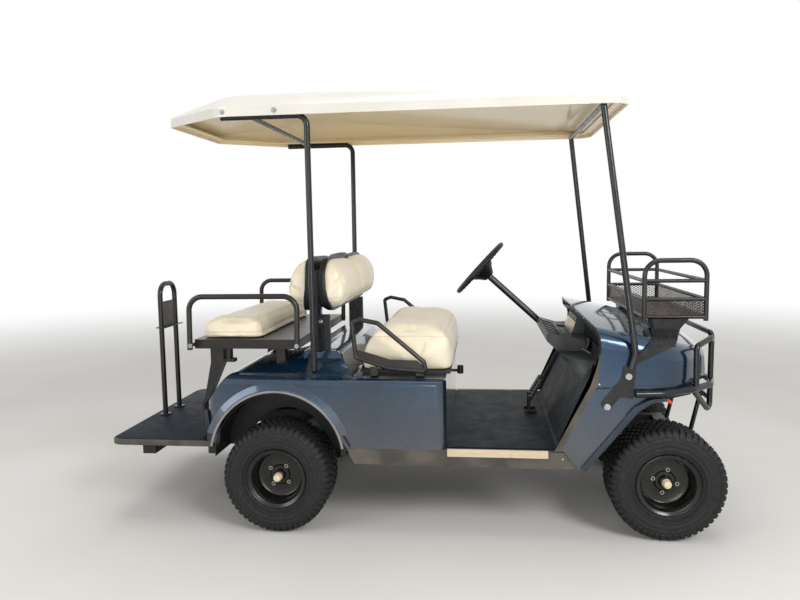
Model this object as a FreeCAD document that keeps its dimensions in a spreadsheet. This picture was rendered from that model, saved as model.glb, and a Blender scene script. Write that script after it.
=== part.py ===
import FreeCAD, Part
import math
import os
import re
import Sketcher
from FreeCAD import Placement, Rotation, Vector

# Golf cart with four seats. +X is forward, +Y is the driver's side, +Z is up.
# Every piece is drawn with X counted from the rear axle and Z from the ground,
# and is then moved by rear_axle_x, so that the origin is under the cart's middle.

SIZES = (
    # name, millimetres or degrees, what it measures
    ("rear_reach", 806, "rear axle to the back edge of the foot platform"),
    ("front_reach", 244, "front axle to the front of the brush guard"),
    ("wheelbase", 1664, "rear axle to front axle"),
    ("rear_track", 1000, "between the middles of the rear tyres"),
    ("front_track", 912, "between the middles of the front tyres"),
    ("tyre_r", 240, "tyre, out to the tread blocks"),
    ("tyre_wide", 216, "tyre, over its side walls"),
    ("bead_r", 118, "tyre, its bead seat"),
    ("rim_r", 130, "wheel, out to its lip"),
    ("rim_wide", 190, "wheel, lip to lip"),
    ("rim_wall", 5, "wheel, pressed steel"),
    ("dish", 72, "outer lip in to the wheel disc"),
    ("boss_r", 44, "wheel hub behind the disc"),
    ("cap_r", 17, "dust cap"),
    ("stub_r", 17, "spindle that carries a wheel"),
    ("bore_slip", 0.06, "radial clearance of a running fit"),
    ("seat_gap", 0.3, "gap between pieces that lie on each other"),
    ("drum_r", 84, "rear brake drum"),
    ("axle_tube_r", 38, "rear axle tube"),
    ("diff_r", 92, "differential housing"),
    ("beam_r", 22, "front axle beam"),
    ("beam_z", 222, "front axle beam above the ground"),
    ("kingpin_y", 330, "middle to a kingpin"),
    ("arm_in", 18, "kingpin inward to the ball joint"),
    ("kingpin_r", 11, "kingpin"),
    ("barrel_r", 21, "knuckle barrel round the kingpin"),
    ("barrel_high", 96, "knuckle barrel"),
    ("arm_long", 112, "steering arm, kingpin back to the ball joint"),
    ("rail_y", 190, "middle to a frame rail"),
    ("rail_wide", 50, "frame rail"),
    ("rail_low", 285, "underside of the frame rails"),
    ("rail_high", 70, "frame rail"),
    ("leaf_wide", 45, "leaf spring"),
    ("rear_leaf_y", 275, "middle to a rear leaf spring"),
    ("rear_leaf_long", 290, "axle to a rear spring eye"),
    ("front_leaf_y", 195, "middle to a front leaf spring"),
    ("front_leaf_long", 250, "axle to a front spring eye"),
    ("floor_top", 385, "floor above the ground"),
    ("toe_back", 449, "front axle back to where the floor turns up into the toe board"),
    ("half_body", 578, "middle to the body side"),
    ("body_low", 380, "lower edge of the rear body"),
    ("wall", 6, "moulded body wall"),
    ("body_front", 745, "front face of the seat box"),
    ("shoulder_z", 690, "top of the rear body beside the seats"),
    ("deck_rise", 10, "shoulder up to the deck under the rear seat"),
    ("hump_z", 785, "top of the rear body behind the front seat"),
    ("tail_x", -325, "back of the rear body"),
    ("arch_r", 292, "rear wheel arch"),
    ("arch_z", 331, "middle of the rear wheel arch"),
    ("flare_out", 14, "how far a wheel arch lip stands out"),
    ("flare_wide", 42, "wheel arch flare seen from the side"),
    ("lip_wide", 14, "flat edge of a wheel arch lip"),
    ("bay_front", 700, "front of the opening under the front seat"),
    ("bay_rear", 345, "rear of the opening under the front seat"),
    ("half_bay", 400, "middle to the side of that opening"),
    ("crown_r", 2400, "cowl, radius of its crown seen from the front"),
    ("edge_back", 369, "front axle back to the middle of the cowl's rear edge"),
    ("edge_r", 2000, "cowl, radius of its rear edge seen from above"),
    ("cowl_low", 652, "lower edge of the cowl at the front"),
    ("rim_band", 27, "band along the cowl's rear edge"),
    ("roof_rear", -543, "back edge of the roof"),
    ("brow_back", 174, "front axle back to the front edge of the roof"),
    ("half_roof", 556, "middle to the roof's side edge"),
    ("roof_low", 1806, "lower edge of the roof"),
    ("roof_rim", 40, "height of the roof's side band"),
    ("roof_wall", 7, "roof shell"),
    ("strut_r", 13, "roof strut tube"),
    ("strut_y", 527, "middle to a roof strut"),
    ("rear_strut_x", 165, "rear roof strut"),
    ("strut_top_back", 278, "front axle back to a front roof strut at the roof"),
    ("strut_knee_back", 151, "front axle back to a front roof strut at its knee"),
    ("half_seat", 455, "half width of a seat cushion"),
    ("bay_rim", 684, "rim of the opening under the front seat"),
    ("lid_high", 205, "front seat, rim of the opening to the top of its cushion"),
    ("seat_rear", 352, "back edge of the front seat cushion"),
    ("seat_front", 778, "front edge of the front seat cushion"),
    ("board_thick", 14, "seat board"),
    ("hinge_x", 338, "hinge line of the front seat"),
    ("hinge_r", 5.5, "hinge barrel of the front seat"),
    ("half_back", 470, "half width of a backrest"),
    ("back_low", 968, "lower edge of the backrests"),
    ("back_high", 1202, "upper edge of the backrests"),
    ("back_thick", 74, "backrest cushion"),
    ("shell_thick", 26, "backrest shell"),
    ("column_wide", 40, "seat column between the backrests, front to back"),
    ("column_in", 148, "body side in to the middle of a seat column"),
    ("rear_seat_back", -388, "back edge of the rear seat"),
    ("rear_seat_front", 62, "front edge of the rear seat"),
    ("rear_seat_z", 840, "underside of the rear seat cushion"),
    ("rear_seat_thick", 95, "rear seat cushion"),
    ("channel_high", 42, "frame channel under the rear seat"),
    ("half_channel", 480, "middle to that channel's outer face"),
    ("hoop_y", 515, "middle to an armrest hoop"),
    ("hoop_r", 12, "armrest tube"),
    ("hoop_z", 1036, "top of the rear armrests"),
    ("half_platform", 517, "half width of the foot platform"),
    ("platform_front", -318, "front edge of the foot platform"),
    ("platform_thick", 29, "foot platform"),
    ("grab_x", -738, "grab bar"),
    ("grab_z", 1060, "top of the grab bar"),
    ("grab_half", 83, "middle to a post of the grab bar"),
    ("grab_r", 12.7, "grab bar tube"),
    ("hub_back", 778, "front axle back to the steering wheel hub"),
    ("wheel_hub_z", 1112, "steering wheel hub"),
    ("driver_y", 262, "middle to the steering column"),
    ("steering_r", 165, "steering wheel rim"),
    ("steering_tube", 13, "steering wheel rim's section"),
    ("column_tilt", 42.5, "steering column above the floor, degrees"),
    ("column_r", 17, "steering column"),
    ("basket_back", 84, "front axle back to the rear of the basket"),
    ("basket_long", 252, "basket, front to rear"),
    ("half_basket", 425, "half width of the front basket"),
    ("basket_low", 925, "bottom of the front basket"),
    ("basket_top", 1172, "top of the basket's end hoops"),
    ("basket_rail", 1008, "rail along the top of the basket's mesh"),
    ("basket_bar", 1086, "rail above the basket's mesh"),
    ("basket_tube", 10.5, "basket tube"),
    ("guard_r", 14, "brush guard tube"),
    ("thin_by", 2, "how much thinner a tube is that ends in another"),
    ("guard_low", 640, "main tube of the brush guard"),
    ("guard_high", 850, "top of the brush guard"),
    ("guard_y", 430, "middle to an outer post of the brush guard"),
    ("engine_long", 300, "engine"),
    ("engine_wide", 420, "engine"),
    ("engine_high", 270, "engine"),
    ("engine_x", 140, "back of the engine"),
)

doc = FreeCAD.newDocument("golf_cart")
sheet = doc.addObject("Spreadsheet::Sheet", "size")
for row, (name, number, note) in enumerate(SIZES, 1):
    sheet.set("A%d" % row, note)
    sheet.set("B%d" % row, "%g" % number)
    sheet.setAlias("B%d" % row, name)
doc.recompute()
NAMES = {name for name, number, note in SIZES}


class Read:
    """the sheet's values, for shapes that are drawn by functions"""

    def __getattr__(self, name):
        return float(getattr(sheet, name))


s = Read()
SHIFT = "(front_reach + wheelbase + rear_reach) / -2 + rear_reach"
nodes = []


def link(text):
    """an expression on the sheet, from one written with bare names"""
    return re.sub(r"[a-z_]+", lambda word: "size." + word.group() if word.group() in NAMES else word.group(), text)


def bind(piece, **values):
    for path, text in values.items():
        piece.setExpression(path.replace("__", "."), link(str(text)))


def place(piece, x="0", y="0", z="0"):
    bind(piece, Placement__Base__x=x, Placement__Base__y=y, Placement__Base__z=z)


def box(name, low, span):
    piece = doc.addObject("Part::Box", name)
    bind(piece, Length=span[0], Width=span[1], Height=span[2])
    place(piece, *low)
    return piece


def rod(name, centre, radius, length, along="Z"):
    """a cylinder that starts at centre and runs along an axis"""
    turns = {"X": Rotation(Vector(0, 1, 0), 90), "Y": Rotation(Vector(1, 0, 0), -90), "Z": Rotation()}
    piece = doc.addObject("Part::Cylinder", name)
    piece.Placement = Placement(Vector(), turns[along])
    bind(piece, Radius=radius, Height=length)
    place(piece, *centre)
    return piece


def feature(name, shape):
    piece = doc.addObject("Part::Feature", name)
    piece.Shape = shape
    return piece


def fuse(name, pieces):
    joined = doc.addObject("Part::MultiFuse", name)
    joined.Shapes = pieces
    return joined


def cut(name, base, tool):
    left = doc.addObject("Part::Cut", name)
    left.Base, left.Tool = base, tool
    return left


def common(name, first, second):
    both = doc.addObject("Part::MultiCommon", name)
    both.Shapes = [first, second]
    return both


def compound(name, pieces):
    group = doc.addObject("Part::Compound", name)
    group.Links = pieces
    return group


def mirrored(name, piece):
    """the same piece on the other side of the cart"""
    other = doc.addObject("Part::Mirroring", name)
    other.Source, other.Normal, other.Base = piece, Vector(0, 1, 0), Vector(0, 0, 0)
    return other


def both_sides(name, piece):
    return compound(name, [piece, mirrored(name + "_far", piece)])


def node(label, piece):
    """a finished sub-part, moved from the rear axle's frame to the cart's"""
    holder = compound(label + "_node", [piece])
    holder.Label = label
    bind(holder, Placement__Base__x=SHIFT)
    nodes.append(holder)
    return holder


def outline(body, plane, corners):
    """a closed sketch in which each corner is held by two expressions"""
    sketch = body.newObject("Sketcher::SketchObject", body.Name + "_outline")
    flat = [feature for feature in body.Origin.OriginFeatures if feature.Role == plane]
    sketch.AttachmentSupport = [(flat[0], "")]
    sketch.MapMode = "FlatFace"
    count = len(corners)
    start = [Vector(100 * math.cos(2 * math.pi * turn / count), 100 * math.sin(2 * math.pi * turn / count), 0)
             for turn in range(count)]
    for index in range(count):
        sketch.addGeometry(Part.LineSegment(start[index], start[(index + 1) % count]))
    for index in range(count):
        sketch.addConstraint(Sketcher.Constraint("Coincident", index, 2, (index + 1) % count, 1))
    for index, (across, up) in enumerate(corners):
        for kind, text, now in (("DistanceX", across, start[index].x), ("DistanceY", up, start[index].y)):
            held = sketch.addConstraint(Sketcher.Constraint(kind, -1, 1, index, 1, now))
            sketch.setExpression("Constraints[%d]" % held, link(str(text)))
    return sketch


def round_edges(body, base, radius, chosen):
    """a fillet on the edges that the rule picks"""
    doc.recompute()
    names = ["Edge%d" % (index + 1) for index, edge in enumerate(base.Shape.Edges) if chosen(edge)]
    fillet = body.newObject("PartDesign::Fillet", body.Name + "_round")
    fillet.Base = (base, names)
    bind(fillet, Radius=radius)
    body.Tip = fillet
    return fillet


def along(edge, direction):
    """whether a straight edge runs along an axis"""
    if edge.Curve.TypeId != "Part::GeomLine":
        return False
    return abs(edge.Curve.Direction.dot(direction)) > 0.999


X, Y, Z = Vector(1, 0, 0), Vector(0, 1, 0), Vector(0, 0, 1)


def pad(name, plane, corners, length, symmetric=True, rounded=None, chosen=None):
    body = doc.addObject("PartDesign::Body", name)
    sketch = outline(body, plane, corners)
    solid = body.newObject("PartDesign::Pad", name + "_pad")
    solid.Profile = sketch
    solid.SideType = "Symmetric" if symmetric else "One side"
    bind(solid, Length=length)
    if rounded:
        round_edges(body, solid, rounded, chosen)
    return body


def turned(name, corners, middle):
    """a body of revolution about a line along Y: corners are (distance from the cart's middle, radius)"""
    body = doc.addObject("PartDesign::Body", name)
    sketch = outline(body, "YZ_Plane", corners)
    solid = body.newObject("PartDesign::Revolution", name + "_turn")
    solid.Profile = sketch
    solid.ReferenceAxis = (sketch, ["H_Axis"])
    solid.Angle = 360
    place(body, *middle)
    return body


def route(points, bend):
    """straight runs joined by tangent arcs"""
    points = [Vector(*point) for point in points]
    edges, last = [], points[0]
    for before, corner, after in zip(points, points[1:], points[2:]):
        back, ahead = (before - corner).normalize(), (after - corner).normalize()
        half = back.getAngle(ahead) / 2
        reach = bend / math.tan(half)
        first, second = corner + back * reach, corner + ahead * reach
        inward = (back + ahead).normalize()
        middle = corner + inward * (bend / math.sin(half) - bend)
        if (first - last).Length > 0.01:
            edges.append(Part.LineSegment(last, first).toShape())
        edges.append(Part.Arc(first, middle, second).toShape())
        last = second
    edges.append(Part.LineSegment(last, points[-1]).toShape())
    return Part.Wire(edges)


def tube(name, points, radius, bend=50):
    """a bent tube: its radius is an expression on the sheet"""
    path = feature(name + "_path", route(points, bend))
    ring = doc.addObject("Part::Circle", name + "_section")
    first, second = Vector(*points[0]), Vector(*points[1])
    ring.Placement = Placement(first, Rotation(Z, second - first))
    bind(ring, Radius=radius)
    sweep = doc.addObject("Part::Sweep", name)
    sweep.Sections = [ring]
    sweep.Spine = (path, ["Edge%d" % (index + 1) for index in range(len(path.Shape.Edges))])
    sweep.Solid = True
    return sweep


def rounded(points, lift):
    """a closed wire of straight sides: a corner is (a, b), or (a, b, radius) where it is rounded"""
    corners = [(lift(point[0], point[1]), point[2] if len(point) > 2 else 0) for point in points]
    turns = []
    for index, (corner, radius) in enumerate(corners):
        before, after = corners[index - 1][0], corners[(index + 1) % len(corners)][0]
        if not radius:
            turns.append((corner, None, corner))
            continue
        back, forth = (before - corner).normalize(), (after - corner).normalize()
        half = back.getAngle(forth) / 2
        reach = radius / math.tan(half)
        middle = corner + (back + forth).normalize() * (radius / math.sin(half) - radius)
        turns.append((corner + back * reach, middle, corner + forth * reach))
    edges = []
    for index, (first, middle, last) in enumerate(turns):
        if middle:
            edges.append(Part.Arc(first, middle, last).toShape())
        following = turns[(index + 1) % len(turns)][0]
        if (following - last).Length > 0.01:
            edges.append(Part.LineSegment(last, following).toShape())
    return Part.Wire(edges)


WAYS = {"X": X, "Y": Y, "Z": Z}


def lifted(axis, height):
    """how a pair of numbers becomes a point on the plane across an axis"""
    return {"X": lambda a, b: Vector(height, a, b), "Y": lambda a, b: Vector(a, height, b),
            "Z": lambda a, b: Vector(a, b, height)}[axis]


def prism(points, axis, low, high):
    """a solid that keeps one outline from low to high along an axis"""
    return Part.Face(rounded(points, lifted(axis, low))).extrude(WAYS[axis] * (high - low))


def ahead(points):
    """points counted from the front axle"""
    return [(s.wheelbase + point[0],) + tuple(point[1:]) for point in points]


def mirror(shape):
    return shape.mirror(Vector(), Y)


# Wheels and tyres
ENDS = (
    # name, axle x, half track
    ("rear", "0", "rear_track / 2"),
    ("front", "wheelbase", "front_track / 2"),
)
SIDES = (("left", "", 1), ("right", "-", -1))


def tyre(label, x, half_track, sign):
    half, shoulder = "tyre_wide / 2", "tyre_wide / 2 - 22"
    corners = [
        ("-rim_wide / 2 + rim_wall", "bead_r + seat_gap"), ("rim_wide / 2 - rim_wall", "bead_r + seat_gap"),
        ("rim_wide / 2 - rim_wall", "rim_r + 8"), ("%s - 4" % half, "rim_r + 32"), (half, "tyre_r - 48"),
        ("%s - 6" % half, "tyre_r - 20"), (shoulder, "tyre_r - 2"), ("tyre_wide / 4", "tyre_r"),
        ("-tyre_wide / 4", "tyre_r"), ("-(%s)" % shoulder, "tyre_r - 2"), ("-(%s) + 6" % half, "tyre_r - 20"),
        ("-(%s)" % half, "tyre_r - 48"), ("-(%s) + 4" % half, "rim_r + 32"), ("-rim_wide / 2 + rim_wall", "rim_r + 8"),
    ]
    node(label, turned(label + "_body", corners, (x, "%s(%s)" % (sign, half_track), "tyre_r")))


def wheel(label, x, half_track, sign):
    """pressed wheel with its hub: the profile starts at the inner lip and comes back along the inside"""
    out = sign or ""
    def at(text):
        return "%s(%s)" % (out, text)
    lip, wall, disc = "rim_wide / 2", "rim_wall", "rim_wide / 2 - dish"
    corners = [
        (at("-%s" % lip), "rim_r"), (at("-%s + %s" % (lip, wall)), "rim_r"), (at("-%s + %s" % (lip, wall)), "bead_r"),
        (at("%s - %s" % (lip, wall)), "bead_r"), (at("%s - %s" % (lip, wall)), "rim_r"), (at(lip), "rim_r"),
        (at(lip), "bead_r - rim_wall"), (at("%s + 12" % disc), "bead_r - rim_wall - 8"), (at(disc), "bead_r - 34"),
        (at("%s + 8" % disc), "boss_r"), (at("%s + 8" % disc), "cap_r + 6"), (at("%s - 26" % lip), "cap_r + 3"),
        (at("%s - 12" % lip), "cap_r"), (at("%s - 8" % lip), "cap_r - 7"), (at("%s - 8" % lip), "0"),
        (at("%s - 22" % lip), "0"), (at("%s - 22" % lip), "stub_r - 4"), (at("%s" % disc), "stub_r + bore_slip"),
        (at("%s - 34" % disc), "stub_r + bore_slip"), (at("%s - 34" % disc), "boss_r"), (at("%s - wall" % disc), "boss_r"),
        (at("%s - wall" % disc), "bead_r - 36"), (at("%s + 4" % disc), "bead_r - rim_wall - 12"),
        (at("%s - 12" % disc), "bead_r - rim_wall"), (at("-%s" % lip), "bead_r - rim_wall"),
    ]
    node(label, turned(label + "_body", corners, (x, "%s(%s)" % (sign, half_track), "tyre_r")))


for end, axle_x, half_track in ENDS:
    for side, sign, way in SIDES:
        tyre("tyre_%s_%s" % (end, side), axle_x, half_track, sign)
        wheel("wheel_%s_%s" % (end, side), axle_x, half_track, sign)


# Rear axle with its leaf springs
def leaf_pack(name, middle_x, middle_y, half_long, low, rise, thick):
    """a spring bowed down at the axle, with an eye at each end"""
    x, y = middle_x, middle_y - s.leaf_wide / 2
    under = Part.Arc(Vector(x - half_long, y, low + rise), Vector(x, y, low), Vector(x + half_long, y, low + rise))
    over = Part.Arc(Vector(x + half_long, y, low + rise + thick / 2), Vector(x, y, low + thick),
                    Vector(x - half_long, y, low + rise + thick / 2))
    ends = [Part.makeLine(under.EndPoint, over.StartPoint), Part.makeLine(over.EndPoint, under.StartPoint)]
    strip = Part.Face(Part.Wire([under.toShape(), ends[0], over.toShape(), ends[1]])).extrude(Y * s.leaf_wide)
    eyes = [Part.makeCylinder(thick * 0.7, s.leaf_wide, Vector(x + end * half_long, y, low + rise + thick / 4), Y)
            for end in (-1, 1)]
    return feature(name, strip.fuse(eyes))


drum_in = "rear_track / 2 - rim_wide / 2 + 6"
hub_in = "rear_track / 2 + rim_wide / 2 - dish - 34 - seat_gap"
stub_out = "rear_track / 2 + rim_wide / 2 - dish"
axle_pieces = [
    rod("axle_tube", ("0", "-(%s)" % drum_in, "tyre_r"), "axle_tube_r", "2 * (%s)" % drum_in, "Y"),
    rod("axle_shaft", ("0", "-(%s)" % stub_out, "tyre_r"), "stub_r", "2 * (%s)" % stub_out, "Y"),
    rod("drum_left", ("0", drum_in, "tyre_r"), "drum_r", "(%s) - (%s)" % (hub_in, drum_in), "Y"),
    rod("drum_right", ("0", "-(%s)" % hub_in, "tyre_r"), "drum_r", "(%s) - (%s)" % (hub_in, drum_in), "Y"),
    rod("differential", ("0", "-60", "tyre_r"), "diff_r", "150", "Y"),
]
for side, sign, way in SIDES:
    axle_pieces.append(leaf_pack("rear_leaf_" + side, 0, way * s.rear_leaf_y, s.rear_leaf_long,
                                 s.tyre_r + s.axle_tube_r - 6, 40, 22))
node("rear_axle", fuse("rear_axle_whole", axle_pieces))

# Front axle beam, its yokes and kingpins, and its leaf springs
yoke_low = "tyre_r - barrel_high / 2"
beam_pieces = [
    rod("beam", ("wheelbase", "barrel_r + 5 - kingpin_y", "beam_z"), "beam_r", "2 * (kingpin_y - barrel_r - 5)", "Y"),
]
for side, sign, way in SIDES:
    inner = "%s(kingpin_y - barrel_r - 20) - 12" % sign
    beam_pieces += [
        rod("kingpin_" + side, ("wheelbase", "%s(kingpin_y)" % sign, "%s - 22" % yoke_low), "kingpin_r",
            "barrel_high + 44"),
        rod("yoke_top_" + side, ("wheelbase", "%s(kingpin_y)" % sign, "%s + barrel_high + seat_gap" % yoke_low),
            "barrel_r", "18"),
        rod("yoke_foot_" + side, ("wheelbase", "%s(kingpin_y)" % sign, "%s - 18 - seat_gap" % yoke_low),
            "barrel_r", "18"),
        box("yoke_back_" + side, ("wheelbase - 12", inner, "%s - 18 - seat_gap" % yoke_low),
            ("24", "24", "barrel_high + 36 + 2 * seat_gap")),
        box("yoke_arm_top_" + side,
            ("wheelbase - 16", "%s(kingpin_y - 22) - 22" % sign, "%s + barrel_high + seat_gap" % yoke_low),
            ("32", "44", "18")),
        box("yoke_arm_foot_" + side,
            ("wheelbase - 16", "%s(kingpin_y - 22) - 22" % sign, "%s - 18 - seat_gap" % yoke_low),
            ("32", "44", "18")),
        leaf_pack("front_leaf_" + side, s.wheelbase, way * s.front_leaf_y, s.front_leaf_long,
                  s.beam_z + s.beam_r - 4, s.rail_low - s.seat_gap - 13.3 - (s.beam_z + s.beam_r - 4), 14),
    ]
node("front_axle", fuse("front_axle_whole", beam_pieces))


# Knuckles: a barrel on the kingpin, a spindle for the wheel and an arm for the tie rod
def knuckle(side, sign, way):
    name = "knuckle_" + side
    start = "%s(kingpin_y)" % sign
    spindle_end = "front_track / 2 + rim_wide / 2 - dish"
    hub_back = "front_track / 2 + rim_wide / 2 - dish - 34 - seat_gap"
    if way > 0:
        spindle = rod(name + "_spindle", ("wheelbase", start, "tyre_r"), "stub_r", "%s - kingpin_y" % spindle_end, "Y")
        flange = rod(name + "_flange", ("wheelbase", start, "tyre_r"), "boss_r - 14", "%s - kingpin_y" % hub_back, "Y")
    else:
        spindle = rod(name + "_spindle", ("wheelbase", "-(%s)" % spindle_end, "tyre_r"), "stub_r",
                      "%s - kingpin_y" % spindle_end, "Y")
        flange = rod(name + "_flange", ("wheelbase", "-(%s)" % hub_back, "tyre_r"), "boss_r - 14",
                     "%s - kingpin_y" % hub_back, "Y")
    pieces = [
        rod(name + "_barrel", ("wheelbase", start, yoke_low), "barrel_r", "barrel_high"),
        spindle, flange,
        feature(name + "_arm", prism([
            (s.wheelbase - s.arm_long, way * (s.kingpin_y - s.arm_in - 11)), (s.wheelbase, way * (s.kingpin_y - 4)),
            (s.wheelbase, way * (s.kingpin_y + 14)), (s.wheelbase - s.arm_long, way * (s.kingpin_y - s.arm_in + 11))],
            "Z", s.tyre_r - s.barrel_high / 2, s.tyre_r - s.barrel_high / 2 + 14)),
        rod(name + "_eye", ("wheelbase - arm_long", "%s(kingpin_y - arm_in)" % sign, yoke_low), "16", "14"),
    ]
    solid = fuse(name + "_solid", pieces)
    bore = rod(name + "_bore", ("wheelbase", start, "%s - 5" % yoke_low), "kingpin_r + bore_slip", "barrel_high + 10")
    node(name, cut(name + "_whole", solid, bore))


for side, sign, way in SIDES:
    knuckle(side, sign, way)

tie_z = "%s - 12 - 4" % yoke_low
tie = [rod("tie_bar", ("wheelbase - arm_long", "arm_in - kingpin_y", tie_z), "9", "2 * (kingpin_y - arm_in)", "Y")]
for side, sign, way in SIDES:
    tie.append(rod("tie_joint_" + side, ("wheelbase - arm_long", "%s(kingpin_y - arm_in)" % sign, "%s - 13" % tie_z),
                   "15", "28.5"))
node("tie_rod", fuse("tie_rod_whole", tie))

# Frame: two rails, cross members and spring hangers
frame_rear, frame_front, toe = "-rear_reach + 140", "wheelbase + 150", "wheelbase - toe_back"
frame_pieces = []
for side, sign, way in SIDES:
    frame_pieces.append(box("rail_" + side, (frame_rear, "%s(rail_y) - rail_wide / 2" % sign, "rail_low"),
                            ("%s - (%s)" % (frame_front, frame_rear), "rail_wide", "rail_high")))
    for spot, (at, half_y, long) in enumerate((("-rear_leaf_long", "rear_leaf_y", 44), ("rear_leaf_long", "rear_leaf_y", 44))):
        low = "tyre_r + axle_tube_r - 6 + 40 + 5.5 + 15.4 + seat_gap"
        inner = "rail_y" if way > 0 else "-(%s) - leaf_wide / 2" % half_y
        frame_pieces.append(box("hanger_%s_%d" % (side, spot), ("%s - 22" % at, inner, low),
                                (long, "%s + leaf_wide / 2 - rail_y" % half_y, "rail_low + rail_high - (%s)" % low)))
CROSS = (
    # name, middle x, length along the cart, half width
    ("tail", frame_rear + " + 30", 60, "half_platform - 40"),
    ("mid_rear", "-rear_leaf_long - 44", 50, "half_platform - 60"),
    ("under_seat", "bay_front - 60", 60, "half_body - 70"),
    ("under_floor", toe + " - 90", 60, "half_body - 70"),
    ("nose", frame_front + " - 30", 60, "rail_y + rail_wide / 2"),
)
for name, middle, long, half in CROSS:
    frame_pieces.append(box("cross_" + name, ("%s - %g / 2" % (middle, long), "-(%s)" % half, "rail_low + 20"),
                            (long, "2 * (%s)" % half, "rail_high - 20")))
node("frame", fuse("frame_whole", frame_pieces))

# Engine, on the rails behind the seat bay
node("engine", box("engine_block", ("engine_x", "-engine_wide / 2", "rail_low + rail_high + seat_gap"),
                   ("engine_long", "engine_wide", "engine_high")))

# Floor and toe board
floor_low = "rail_low + rail_high + seat_gap"
floor_back = "body_front + seat_gap"
node("floor", pad("floor_body", "XZ_Plane", [
    (floor_back, floor_low), (toe, floor_low), (toe + " + 22", "%s + 6" % floor_low),
    (toe + " + 176", "floor_top + 322"), (toe + " + 165", "floor_top + 328"), (toe + " + 6", "floor_top + 4"),
    (toe + " - 8", "floor_top"), (floor_back, "floor_top"),
], "2 * (half_body - 40)"))

# Sills and their scuff strips
sill_in = "half_body - 40 + seat_gap"
for name, corners, low_y, wide in (
        ("sills", [("312", "body_low - seat_gap"), ("345", "312"), (toe + " + 50", "310"),
                   (toe + " + 76", "318"), (toe + " + 120", "body_low - seat_gap")], sill_in, "33"),
        ("scuff_strips", [("body_front + 3", "354"), (toe + " - 45", "354"), (toe + " - 45", "floor_top + 2"),
                          ("body_front + 3", "floor_top + 2")], "%s + 33 + seat_gap" % sill_in, "4")):
    piece = pad(name + "_right", "XZ_Plane", corners, wide, symmetric=False)
    place(piece, y="-(%s)" % low_y)
    piece.Tip.Reversed = False
    node(name, both_sides(name + "_pair", piece))


# Rear body: a moulded shell with wheel arches
def rear_body():
    back, front, low, rim, hump, half = s.tail_x, s.body_front, s.body_low, s.bay_rim, s.hump_z, s.half_body
    far, deck = half + 50, s.shoulder_z + s.deck_rise
    def form(inset):
        """the moulding, drawn from the side, from behind and from above"""
        foot, belly = (low - 9, low) if inset else (low, 466)
        side = [
            (back + 16 + inset, belly), (back + inset, 560, 40), (back + 114 + inset, deck - inset, 50),
            (40, deck - inset, 40), (100 + inset / 2, hump - inset, 34), (262 - inset, hump - inset, 34),
            (316 - inset, rim - inset, 34), (front - inset, rim - inset, 16), (front - inset, foot), (300, foot),
            (240, belly), (-240, belly)]
        behind = [
            (-half + 5 + inset, 300), (half - 5 - inset, 300), (half - inset, 560), (half - inset, 672 - inset, 22 - inset / 2),
            (half - 78 - inset, 708 - inset, 40), (half - 165 - inset, hump + 30 - inset),
            (-half + 165 + inset, hump + 30 - inset), (-half + 78 + inset, 708 - inset, 40),
            (-half + inset, 672 - inset, 22 - inset / 2), (-half + inset, 560)]
        above = [(back - 10 + inset, -half + inset, 110 - inset), (front - inset, -half + inset, 46 - inset),
                 (front - inset, half - inset, 46 - inset), (back - 10 + inset, half - inset, 110 - inset)]
        solid = prism(side, "Y", -far, far).common(prism(above, "Z", 200, 900))
        return solid.common(prism(behind, "X", back - 50, front + 50))
    arch = Part.makeCylinder(s.arch_r, 2 * far, Vector(5, -far, s.arch_z), Y)
    foot = prism([(262, 300), (330, 300), (316, low + 6), (268, 452)], "Y", -far, far)
    bay = Part.makeBox(s.bay_front - s.bay_rear, 2 * s.half_bay, 60, Vector(s.bay_rear, -s.half_bay, rim - 40))
    shell = form(0).cut([form(s.wall), arch, foot, bay])
    flat, out = s.arch_r + s.lip_wide, s.half_body + s.flare_out
    section = [(s.arch_r, half - 5), (s.arch_r, out, 3), (flat, out, 4), (s.arch_r + s.flare_wide, half + 0.5),
               (s.arch_r + s.flare_wide, half - 4)]
    ring = Part.Face(rounded(section, lambda r, y: Vector(r, y, 0))).revolve(Vector(), Y, -180)
    ring.translate(Vector(5, 0, s.arch_z))
    ring = ring.cut(Part.makeBox(900, 900, 108, Vector(-450, 0, s.arch_z)))
    tail = prism([(268, 450), (276, 446), (288, 458), (330, low + 8), (317, low + 5)], "Y", half - 5, out - 2)
    return shell.fuse([ring, mirror(ring), tail, mirror(tail)])


node("rear_body", feature("rear_body_shell", rear_body()))


# Valance: a band that wraps the body's rear corners, below the tail
def rear_valance():
    back, low, half = s.tail_x, s.body_low + 8, s.half_body - 5 - s.seat_gap
    side = [(back + 8, low), (back + 64, low, 8), (back + 72, 464), (back + 14, 465.5), (back + 3, 527), (back - 18, 527, 6),
            (back - 32, 500, 12), (back - 8, low, 8)]
    band = prism(side, "Y", -half, half)
    outside = prism([(back - 40, -half, 130), (back + 80, -half), (back + 80, half), (back - 40, half, 130)], "Z", 300, 600)
    inside = prism([(back + 2, -half + 8, 100), (back + 90, -half + 8), (back + 90, half - 8), (back + 2, half - 8, 100)],
                   "Z", 300, 600)
    return band.common(outside).cut(inside)


node("rear_valance", feature("valance_shape", rear_valance()))

# Front cowl: a crowned loft that narrows to the nose, open at the back and below
STATIONS = (
    # from the front axle, half width, crown above the ground, corner radius
    (-184, 578, 937, 75), (-84, 567, 914, 75), (16, 532, 882, 73), (116, 440, 842, 62), (216, 292, 788, 44))
CROWN_FALL = -0.21
EDGE = (
    # rear edge of the cowl's sides: from the front axle, above the ground
    (-471, 386), (-406, 516), (-346, 634), (-325, 668), (-304, 734), (-290, 797), (-286, 900))


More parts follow.
